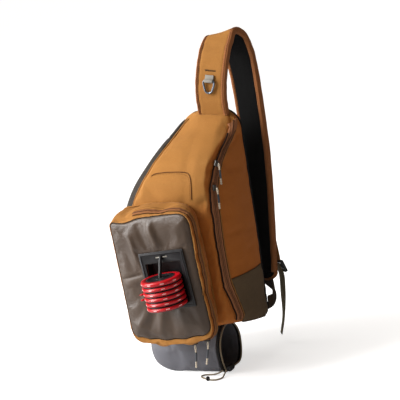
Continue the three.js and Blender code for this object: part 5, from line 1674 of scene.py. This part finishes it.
slip_flat = smooth_points([vec(body_x(a), body_z(b)) for a, b in slip], 90)
slip_line, slip_outs = on_front(slip_flat, 0.25)
slip_piping = tube("slip_piping", slip_line, 0.75, sides=8, material=thread)
fitted(slip_piping, "zip_tape", "slip_pocket_piping")
inside_line, inside_outs = on_front(slip_flat + np.array([-3.0, -3.0]) * np.linspace(0.6, 1, 90)[:, None], 0)
slip_sewn = stitches("slip_stitches", inside_line, inside_outs)
fitted(slip_sewn, "canvas")

# Lower sleeve: a cloth tube with a flattened foot, gathered a little at the mouth
mouth_x, sleeve_length, sleeve_wall = 66.0, 132.0, 2.0
sleeve_top = sleeve_axis + sleeve_radius
half_profile = [
    (0, 1), (0.26, 0.985), (0.5, 0.931), (0.7, 0.85), (0.866, 0.744), (0.965, 0.62), (1, 0.5), (0.985, 0.38),
    (0.95, 0.26), (0.87, 0.14), (0.76, 0.055), (0.62, 0.008), (0.45, 0), (0.2, 0),
]
sleeve_profile = np.array(half_profile + [(0, 0)] + [(-a, b) for a, b in half_profile[:0:-1]], float)
sleeve_section = np.stack([-sleeve_profile[:, 0] * sleeve_radius, sleeve_profile[:, 1] * sleeve_top], axis=1)
sleeve_section = evenly(np.concatenate([sleeve_section, sleeve_section[:1]]), 73)[:-1]


def sleeve_ring(x, size=1.0, inset=0.0, ripple=0.0, phase=0.0):
    reach = size * (sleeve_radius - inset) / sleeve_radius
    turn = np.linspace(0, 2 * pi, len(sleeve_section), endpoint=False)
    wave = ripple * (np.sin(turn * 9 + phase) + 0.6 * np.sin(turn * 14 + 2 * phase))
    foot = np.clip(sleeve_section[:, 1] / 10, 0, 1)
    y = sleeve_section[:, 0] * (reach + wave * foot / sleeve_radius)
    z = sleeve_axis + (sleeve_section[:, 1] - sleeve_axis) * (reach + wave * foot / sleeve_radius)
    return np.stack([np.full(len(y), float(x)), y, z], axis=1)


sleeve_left = mouth_x - sleeve_length
sleeve_ends = [
    (0, 0.02), (0, 0.28), (0.01, 0.44), (0.03, 0.58), (0.06, 0.7), (0.1, 0.79), (0.15, 0.87), (0.21, 0.93),
    (0.27, 0.975),
]
sleeve_shares = sleeve_ends + [(s, 1.0) for s in np.linspace(0.33, 1, 24)]
sleeve_grid = np.array([
    sleeve_ring(sleeve_left + share * sleeve_length, size, 0.4, 0.55 * max(0, share - 0.72) * 3.5, 1.3)
    for share, size in sleeve_shares
])
sleeve = grid_object("sleeve_body", sleeve_grid, wrap=True, material=sleeve_cloth)
held = np.zeros(sleeve_grid.shape[:2])
held[:2] = held[-1] = 1
held = np.maximum(held, (sleeve_section[:, 1] < 1.0)[None, :] * 1.0)
held = np.maximum(held, (sleeve_section[:, 1] > sleeve_top * 0.93)[None, :] * 1.0)
settled(sleeve, held.ravel(), pressure=0.5, growth=0.015, cap=1.6)
tidy_mesh(sleeve, merge=1e-6, outward=True)
finer(sleeve)
thick(sleeve, sleeve_wall - 0.4)
tidy_mesh(sleeve, outward=True)
fitted(sleeve, "sleeve_cloth", "lower_sleeve")

hem_start, hem_length, hem_wall = mouth_x + 0.3, 4.5, 3.2
hem_shape = [
    (0, 0.4), (0.3, 0.1), (hem_length / 2, 0), (hem_length - 0.3, 0.1), (hem_length, 0.5),
    (hem_length, hem_wall - 0.4), (hem_length / 2, hem_wall), (0, hem_wall - 0.4), (0, 0.4),
]
hem = grid_object(
    "mouth_hem", np.array([sleeve_ring(hem_start + a, 1.0, b, 0.25, 1.3) for a, b in hem_shape]), wrap=True,
    material=elastic,
)
tidy_mesh(hem, merge=1e-6, outward=True)
finer(hem)
fitted(hem, "spacer_mesh", "sleeve_hem")
draw_x = hem_start + hem_length + 1.6
draw_path = evenly(np.concatenate([sleeve_ring(draw_x, 1, 3.0), sleeve_ring(draw_x, 1, 3.0)[:1]]), 161)[:-1]
draw_cord = tube("mouth_cord", draw_path, 1.3, sides=10, material=bungee, closed=True)
fitted(draw_cord, "cord", "draw_cord")

# Cord lock: barrel, button and ribs
lock_centre = vec(draw_x + 1.3 + 0.3 + 5, -0.62 * sleeve_radius, 9.0)
lock_profile = [
    (
        0.01, -5.5
    ), (4.2, -5.5), (4.9, -4.8), (5, -3), (4.5, -2.6), (5, -2.2), (5, -0.6), (4.5, -0.2), (5, 0.2), (5, 1.8),
    (4.5, 2.2), (5, 2.6), (4.9, 5), (4.2, 5.5), (3.5, 5.6), (3.5, 8.6), (3.1, 9.3), (0.01, 9.4),
]
lock = set_in(
    turned("lock_barrel", lock_profile, 40, plastic),
    Matrix.Translation(Vector(lock_centre * MM)) @ Matrix.Rotation(-pi / 2, 4, "X"),
)
fitted(lock, "black_plastic", "cord_lock")

# Loop of cord at the mouth, which lies on the ground
loop_points = [
    vec(69.5, -31.5, 7.2), vec(64, -35, 4.2), vec(56, -37, 2.2), vec(47, -37.5, 1.6), vec(39.5, -39.5, 1.6),
    vec(37, -44.5, 1.6), vec(40.5, -50, 1.6), vec(48, -54, 1.6), vec(57, -58.5, 1.6), vec(66, -59.5, 1.6),
    vec(73, -55.5, 1.6), vec(76, -48, 1.6), vec(75, -40.5, 2.6), vec(74.5, -35, 4.6), vec(75.3, -30.8, 7),
]
loop_path = smooth_points(loop_points, 110)
loop = tube("mouth_loop", loop_path, 1.3, sides=12, material=bungee)
bead_profile = [(1.45, -3.8), (2.5, -4), (2.9, -3), (3.15, 0), (3.1, 3), (2.6, 4), (1.45, 3.8)]
bead_place = Matrix.Translation(
    Vector((55.6, -58.1, 3.3)) * MM
) @ Matrix.Rotation(0.5, 4, "Z") @ Matrix.Rotation(pi / 2, 4, "X")
bead = set_in(turned("loop_toggle", bead_profile, 28, plastic), bead_place)
fitted(loop, "cord", "bungee_loop")
fitted(bead, "black_plastic", "loop_bead")
(float(
        lengths(loop_path)[-1]
    ) * MM)

# Strap. Up and back are shares of its rise and reach, right a share of its width, and turn_back and
# turn_up turn its width away from +X
strap_width, strap_rise, strap_reach, strap_drop = 48.0, 116.0, 76.0, 276.0
strap_half, strap_edge_half = 5.6, 3.7
strap_over = [
    (0, 0, 0, 0, -0.06), (0.2, -0.08, 0.06, 0, -0.02), (0.43, -0.1, 0.15, 0.05, 0.04), (
        0.68, -0.02, 0.25, 0.12, 0.12
    ),
    (0.88, 0.14, 0.32, 0.2, 0.18), (1, 0.38, 0.38, 0.25, 0.2), (
        0.94, 0.66, 0.46, 0.15, 0.15
    ), (0.74, 0.85, 0.51, 0, 0.08),
    (0.44, 0.95, 0.52, -0.1, 0.02),
]
strap_behind = [
    (0, 1, 0.51, -0.16, 0), (0.29, 1, 0.5, -0.2, 0), (0.58, 0.97, 0.4, -0.2, 0), (
        0.82, 0.93, 0.29, -0.2, 0
    ), (1, 0.9, 0.2, -0.2, 0),
]
base_x, base_z, base_y = body_x(0.145), body_bottom + body_height - 9, body_back - 19
strap_rows = [(base_z + up * strap_rise, back, right, tb, tu) for up, back, right, tb, tu in strap_over]
strap_rows += [
    (base_z - down * strap_drop, back, right, tb, tu) for down, back, right, tb, tu in strap_behind
]
strap_line = [
    vec(base_x + right * strap_width, base_y + back * strap_reach, z) for z, back, right, _, _ in strap_rows
]
strap_turns = [vec(1, tb, tu) for _, _, _, tb, tu in strap_rows]


def strap_frame(share):
    centre = smooth_line(strap_line, share)
    step = 1e-4
    along = unit(
        smooth_line(strap_line, min(share + step, 1)) - smooth_line(strap_line, max(share - step, 0))
    )
    turn = smooth_line(strap_turns, share)
    across_way = unit(turn - along * (turn @ along))
    return centre, along, across_way, unit(np.cross(across_way, along))


strap_shares = np.linspace(0, 1, 161)
strap_frames = [strap_frame(share) for share in strap_shares]
strap_edge = strap_width / 2


def on_strap(n, side, out):
    centre, _, across_way, out_way = strap_frames[n]
    return centre + across_way * side + out_way * out


def strap_layer(name, sign, material, half_gap=0.15):
    """The canvas face or the mesh lining: pillowed in the middle and thin under the bindings"""
    sides = np.linspace(-1, 1, 25)
    level = strap_edge_half - 0.3 + (
        strap_half - strap_edge_half + 0.3
    ) * np.clip((1 - np.abs(sides)) / 0.28, 0, 1) ** 0.6
    level = np.where(np.abs(sides) > 0.985, 1.6, level)
    rows = []
    for n, share in enumerate(strap_shares):
        ripple = 0.25 * sin(share * 90) * sin(share * 37)
        outer = [
            on_strap(n, s * (strap_edge - 0.4), sign * (h + ripple * (1 - s * s))) for s,
            h in zip(sides, level)
        ]
        inner = [on_strap(n, s * (strap_edge - 0.4), sign * half_gap) for s in sides[::-1]]
        rows.append(outer + inner)
    rows = np.array(rows)
    ends = [
        mix(rows[:1], rows[:1].mean(axis=1, keepdims=True), 0.97),
        mix(rows[-1:], rows[-1:].mean(axis=1, keepdims=True), 0.97),
    ]
    piece = grid_object(name, np.concatenate([ends[0], rows, ends[1]]), wrap=True, material=material)
    tidy_mesh(piece, outward=True)
    return piece


strap_face = strap_layer("strap_face", 1, canvas)
strap_mesh = strap_layer("strap_mesh", -1, spacer)
fitted(strap_face, "canvas", "strap_shell")
fitted(strap_mesh, "spacer_mesh", "strap_lining")


def strap_binding(name, sign):
    cover, wall, gap = 5.5, 1.2, 0.6
    low = strap_edge_half + gap - 0.2
    high = low + wall
    near, far = strap_edge - cover, strap_edge + gap
    turn = np.linspace(pi / 2, -pi / 2, 9)
    outer = [(near, high - 0.2)] + [
        (far + wall - high * 0.35 + high * 0.35 * cos(a), high * sin(a)) for a in turn
    ] + [(near, -high + 0.2)]
    inner = [(near, -low)] + [
        (far - low * 0.3 + low * 0.3 * cos(a), low * sin(a)) for a in turn[::-1]
    ] + [(near, low)]
    section = outer + inner
    rows = []
    for n, share in enumerate(strap_shares):
        wobble = 0.25 * sin(share * 120 + sign) * sin(share * 31)
        rows.append([on_strap(n, sign * (a + wobble), b) for a, b in section])
    rows = np.array(rows)
    half = len(section) // 2
    mid = (rows[:, :half] + rows[:, half:][:, ::-1]) / 2
    flat = np.concatenate([mid, mid[:, ::-1]], axis=1)
    piece = grid_object(
        name, np.concatenate([mix(rows[:1], flat[:1], 0.98), rows, mix(rows[-1:], flat[-1:], 0.98)]),
        wrap=True, material=binding,
    )
    tidy_mesh(piece, outward=True)
    return piece


for name, sign, node in (
    ("binding_left", -1, "strap_binding_left"), ("binding_right", 1, "strap_binding_right")
):
    piece = strap_binding(name, sign)
    fitted(piece, "binding", node)
    for label, side, out in (
        ("inner", strap_edge - 5.4, strap_edge_half + 1.2),
        ("middle", strap_edge - 1.6, strap_edge_half + 1.55),
    ):
        line = np.array([on_strap(n, sign * side, out) for n in range(1, 160)])
        groove = tube(f"{name}_{label}_groove", line, 0.4, sides=6, material=seam_cloth)
        fitted(groove, "binding")
    for face, label in ((1, "face"), (-1, "lining")):
        line = np.array(
            [on_strap(n, sign * (strap_edge - 3.4), face * (strap_edge_half + 1.75)) for n in range(2, 159)]
        )
        outs = np.array([strap_frames[n][3] * face for n in range(2, 159)])
        sewn = stitches(f"{name}_{label}_stitches", line, outs, lift=0.0)
        fitted(sewn, "binding")

# The strap's rounded foot, bound like its sides
foot_centre, foot_along, foot_across, foot_out = strap_frames[-1]
foot_drop = 13.0
foot_turn = np.linspace(0, pi, 40)
foot_rim = np.array([
    foot_centre + foot_across * (
        strap_edge - 0.5
    ) * cos(t) + foot_along * foot_drop * sin(t) for t in foot_turn
])
foot_line = np.array([foot_centre + foot_across * (strap_edge - 0.5) * cos(t) for t in foot_turn])
for name, side, material, slot in (
    ("foot_face", 1, canvas, "canvas"), ("foot_mesh", -1, spacer, "spacer_mesh")
):
    sheet = np.array(
        [mix(foot_line, foot_rim, s) + foot_out * side * mix(4.6, 3.6, s**3) for s in np.linspace(0, 1, 8)]
    )
    piece = thick(grid_object(name, sheet, material=material), 1.0, offset=0)
    tidy_mesh(piece, merge=1e-6, outward=True)
    fitted(piece, slot)
foot_binding = tube("foot_binding", foot_rim, 4.3, sides=14, material=binding)
fitted(foot_binding, "binding")

# Ring on the strap: keeper of folded webbing, bar and bow
keeper = bevelled(copied("ring_keeper", "ring_fold", pale), 0.3, 2)
fitted(keeper, "pale_webbing", "ring_keeper")
ring = plumped(finer(copied("d_ring", "ring_bow", gunmetal)), 0.35)
fitted(ring, "gunmetal", "d_ring", "ring")
keeper_high = box_of("ring_keeper")[1]


def strap_share_at(height):
    """Place up the strap's front run at a height"""
    heights = np.array([strap_frames[n][0][2] for n in range(60)])
    return int(np.argmin(np.abs(heights - height)))


for name, height, half_width in (
    ("keeper_stitches", keeper_high[2] - 2.5, 8), ("anchor_stitches", keeper_high[2] + 3.0, 9)
):
    n = strap_share_at(height)
    across_line = np.array(
        [
            on_strap(n, s, strap_half + (1.9 if "keeper" in name else 0.15))
            for s in np.linspace(-half_width, half_width, 20)
        ]
    )
    outs = np.repeat(strap_frames[n][3][None], 20, axis=0)
    across_line[:, 2] += (1.1 if "anchor" in name else 0.4) * (-1.0) ** np.arange(20)
    sewn = stitches(name, across_line, outs, dark_thread, pitch=1.7, size=1.1)
    fitted(sewn, "binding")

# Webbing: from the strap's foot to the body's lower corner, then the tab, the lock and its tail
foot = foot_centre + foot_along * 0.3
corner_low = vec(body_x(0.008) + 1, body_back - edge_round, body_z(0.06))
web_end = vec(corner_low[0] - 1.5, body_back + 2.2, corner_low[2] + 2)
web_places = [
    foot, foot + foot_along * 9, foot + vec(15, -4, -24), mix(
        foot, web_end, 0.62
    ) + vec(12, 4, 2), web_end + vec(4, 14, 2), web_end,
]
web_centres = smooth_points(web_places, 70)


def carried_across(centres, first, last):
    """Directions across a band that turn with its line, and twist evenly to end as asked"""
    along = tangents(centres)
    ways, way = [], np.asarray(first, float)
    for direction in along:
        way = unit(way - direction * (way @ direction))
        ways.append(way)
    ways = np.array(ways)
    last = unit(last - along[-1] * (last @ along[-1]))
    twist = atan2(np.cross(ways[-1], last) @ along[-1], ways[-1] @ last)
    twist = (twist + pi / 2) % pi - pi / 2
    angles = np.linspace(0, twist, len(centres))[:, None]
    return ways * np.cos(angles) + np.cross(along, ways) * np.sin(angles)


web_ways = carried_across(web_centres, foot_across, vec(0.2, 0, 1))
webbing = strip("strap_web", web_centres, web_ways, 25, 1.7, brown, across=9)
fitted(webbing, "brown_webbing", "strap_webbing")
lock_plate = bevelled(copied("ladder_lock", "buckle", plastic), 0.9, 3)
tab = finer(bevelled(copied("strap_tab", "strap_wing", canvas), 0.4, 1))
fitted(lock_plate, "black_plastic", "ladder_lock")
fitted(tab, "canvas", "strap_tab")
lock_at = sum(box_of("ladder_lock")) / 2
lock_fall = unit(vec(0.16, 0.34, -1))
lock_wide = unit(vec(1, -0.5, 0))
lock_face = unit(np.cross(lock_wide, lock_fall))
tail_top = lock_at - lock_face * (2.5 + 0.6 + 0.9)
tail_places = [tail_top + lock_fall * 22 * share for share in (-0.3, 0.2, 0.6)]
tail_places += [
    vec(tail_top[0] - 1, tail_top[1] + 6, mix(tail_top[2], 16, 0.4)),
    vec(tail_top[0] - 5, tail_top[1] + 3, mix(tail_top[2], 16, 0.75)), vec(tail_top[0] - 12, tail_top[1], 16),
]
tail_wides = [
    lock_wide, lock_wide, lock_wide, unit(vec(0.9, -0.5, 0)), unit(vec(0.7, -0.8, 0)), unit(vec(0.6, -0.8, 0))
]
tail = strip(
    "web_tail", smooth_points(tail_places, 60),
    np.array([smooth_line(tail_wides, i / 59) for i in range(60)]), 15, 1.6, olive, across=7,
)
fitted(tail, "olive_webbing", "webbing_tail")


# Zip pulls: a looped cord through the slider, a knot, a moulded grip, and a knotted tail
def pull_piece(name, top, low, sway, slim=0.75):
    top, low = np.asarray(top, float), np.asarray(low, float)
    run = low - top
    line = smooth_points([top, top + run * 0.33 + sway, top + run * 0.66 + sway * 0.6, low], 60)
    parts = []
    side = unit(np.cross(unit(run), [0.2, 1.0, 0.1]))
    for sign in (-1, 1):
        loop_line = line[:16] + side * sign * (1.3 * np.sin(np.linspace(0.1, pi, 16)))[:, None]
        parts.append(tube("cord", loop_line, 0.8 * slim, sides=8, material=cream))
    along = np.linspace(0, 1, 60)
    knot = [
        0.9 + 1.2 * exp(-(((a - 0.2) / 0.035) ** 2)) + 1.1 * exp(-(((a - 0.28) / 0.03) ** 2))
        for a in along[10:20]
    ]
    parts.append(tube("knot", line[10:20], np.array(knot) * slim, sides=10, material=cream))
    grip_run = line[18:43]
    swell = [1.1 + 1.1 * sin(pi * min(1, s * 1.1)) ** 0.35 for s in np.linspace(0.06, 0.85, 25)]
    parts.append(tube("grip", grip_run, np.array(swell) * slim, sides=12, material=grip_plastic))
    beads = [0.9 + 1.25 * abs(sin((a - 0.7) * 31)) ** 0.6 for a in along[41:]]
    beads[-2:] = [0.9, 0.6]
    parts.append(tube("tail", line[41:], np.array(beads) * slim, sides=10, material=cream))
    return joined(name, parts)


for name, sway in (("upper", vec(0.6, 0, 0)), ("lower", vec(0.4, 0.3, 0))):
    low, high = box_of(f"main_pull_{name}")
    x, y = (low + high)[:2] / 2 - (0, zip_forward)
    pull = pull_piece(f"pull_{name}", (x, y, high[2]), (x - 0.5, y, low[2] + 1), sway)
    fitted(pull, "cord", f"main_pull_{name}")
for name in ("left", "right"):
    low, high = box_of(f"pocket_pull_{name}")
    top, end = (high[0] - 1.5, low[1] + 1.5, high[2]), (low[0] + 1.5, high[1] - 1.5, low[2] + 1)
    pull = pull_piece(f"pull_pocket_{name}", top, end, vec(1.5, -1, 0), 0.72)
    fitted(pull, "cord", f"pocket_pull_{name}")
for node in ("main_slider_upper", "main_slider_lower", "pocket_slider_left", "pocket_slider_right"):
    slider = bevelled(copied(node, node.replace("slider", "runner"), dark_metal), 0.8, 3)
    if node.startswith("main"):
        set_in(slider, Matrix.Translation((0, -zip_forward * MM, 0)))
    fitted(slider, "gunmetal", node)


# Floor and light
def floor():
    mesh = bpy.data.meshes.new("floor")
    reach = 12.0
    mesh.from_pydata(
        [(-reach, -reach, 0), (reach, -reach, 0), (reach, reach, 0), (-reach, reach, 0)], [], [(0, 1, 2, 3)]
    )
    made = Finish("floor", roughness=0.9, specular=0.1)
    made.shader.inputs["Emission Color"].default_value = (1, 1, 1, 1)
    seen = made.tree.nodes.new("ShaderNodeLightPath")
    glow = made.maths("MULTIPLY", seen.outputs["Is Camera Ray"], 0.62)
    made.tree.links.new(glow, made.shader.inputs["Emission Strength"])
    tone = made.noise(3, 2)
    made.colour(made.blend(tone, (0.64, 0.64, 0.64), (0.66, 0.66, 0.66)))
    piece = new_object("floor", mesh, made.material)


def softbox(name, place, aim, size, power):
    data = bpy.data.lights.new(name, "AREA")
    data.shape = "RECTANGLE"
    data.size, data.size_y = size
    data.energy = power
    lamp = bpy.data.objects.new(name, data)
    lamp.location = place
    lamp.rotation_mode = "QUATERNION"
    lamp.rotation_quaternion = (Vector(place) - Vector(aim)).to_track_quat("Z", "Y")
    bpy.context.scene.collection.objects.link(lamp)


def sunlight(name, azimuth, elevation, strength, softness):
    data = bpy.data.lights.new(name, "SUN")
    data.energy = strength
    data.angle = radians(softness)
    azimuth, elevation = radians(azimuth), radians(elevation)
    lamp = bpy.data.objects.new(name, data)
    from_way = Vector((
        sin(azimuth) * cos(elevation), -cos(azimuth) * cos(elevation), sin(elevation),
    ))
    lamp.rotation_mode = "QUATERNION"
    lamp.rotation_quaternion = from_way.to_track_quat("Z", "Y")
    bpy.context.scene.collection.objects.link(lamp)


floor()
world = bpy.data.worlds.new("studio")
world.use_nodes = True
nodes, link = world.node_tree.nodes, world.node_tree.links.new
nodes["Background"].inputs["Color"].default_value = (1, 0.84, 0.68, 1)
nodes["Background"].inputs["Strength"].default_value = 0.22
backdrop = nodes.new("ShaderNodeBackground")
backdrop.inputs["Color"].default_value = (1, 1, 1, 1)
seen_or_lit = nodes.new("ShaderNodeMixShader")
link(nodes.new("ShaderNodeLightPath").outputs["Is Camera Ray"], seen_or_lit.inputs[0])
link(nodes["Background"].outputs[0], seen_or_lit.inputs[1])
link(backdrop.outputs[0], seen_or_lit.inputs[2])
link(seen_or_lit.outputs[0], nodes["World Output"].inputs["Surface"])
bpy.context.scene.world = world
bpy.context.scene.view_settings.view_transform = "Standard"
sunlight("sky", -45, 60, 1.6, 60)
softbox("key", (-1.3, -1.2, 1.5), (0, 0, 0.25), (0.9, 0.9), 74)
softbox("side", (-1.7, -0.95, 0.4), (0, 0, 0.2), (0.7, 1.3), 42)

# Rubbed seams and corners: how sharply each point of a piece stands out, from 0 to 1
def write_rubbed(piece, sharp):
    edit = bmesh.new()
    edit.from_mesh(piece.data)
    values = []
    for vertex in edit.verts:
        bends = [e.calc_face_angle_signed(0.0) / max(e.calc_length() / MM, 0.2) for e in vertex.link_edges]
        values.append(min(max(max(bends, default=0.0) / sharp, 0.0), 1.0))
    edit.free()
    write_values(piece, "rubbed", values)


def write_painted_shade_weight(piece):
    """Painted shade: a weight for the darker, redder canvas colour, full on faces turned towards +X and, on
    the body, below the pocket's top
    """
    pocket_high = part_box("pocket_gusset")[1][2]
    aside = np.array([(vertex.normal.x - 0.45) / 0.4 for vertex in piece.data.vertices])
    if piece is body:
        below = np.array([(pocket_high - vertex.co.z) / 0.03 for vertex in piece.data.vertices])
        aside = np.maximum(aside, np.minimum(below, 1))
    write_values(piece, "unfaded", np.clip(aside, 0, 1))


# Painted shade weights for the body and the pocket's side
for piece in (body, pocket_gusset):
    write_painted_shade_weight(piece)
for piece, sharp in (
    (body, 0.35), (
        pocket_gusset, 0.4
    ), (panel, 0.5), (side_patch, 1.2), (sleeve, 0.5), (strap_face, 0.5), (tab, 0.8),
    (tray, 1.5), (lock_plate, 1.5), (knob, 1.5),
):
    write_rubbed(piece, sharp)
for item in (stitch_item, tooth_item):
    bpy.data.objects.remove(item)
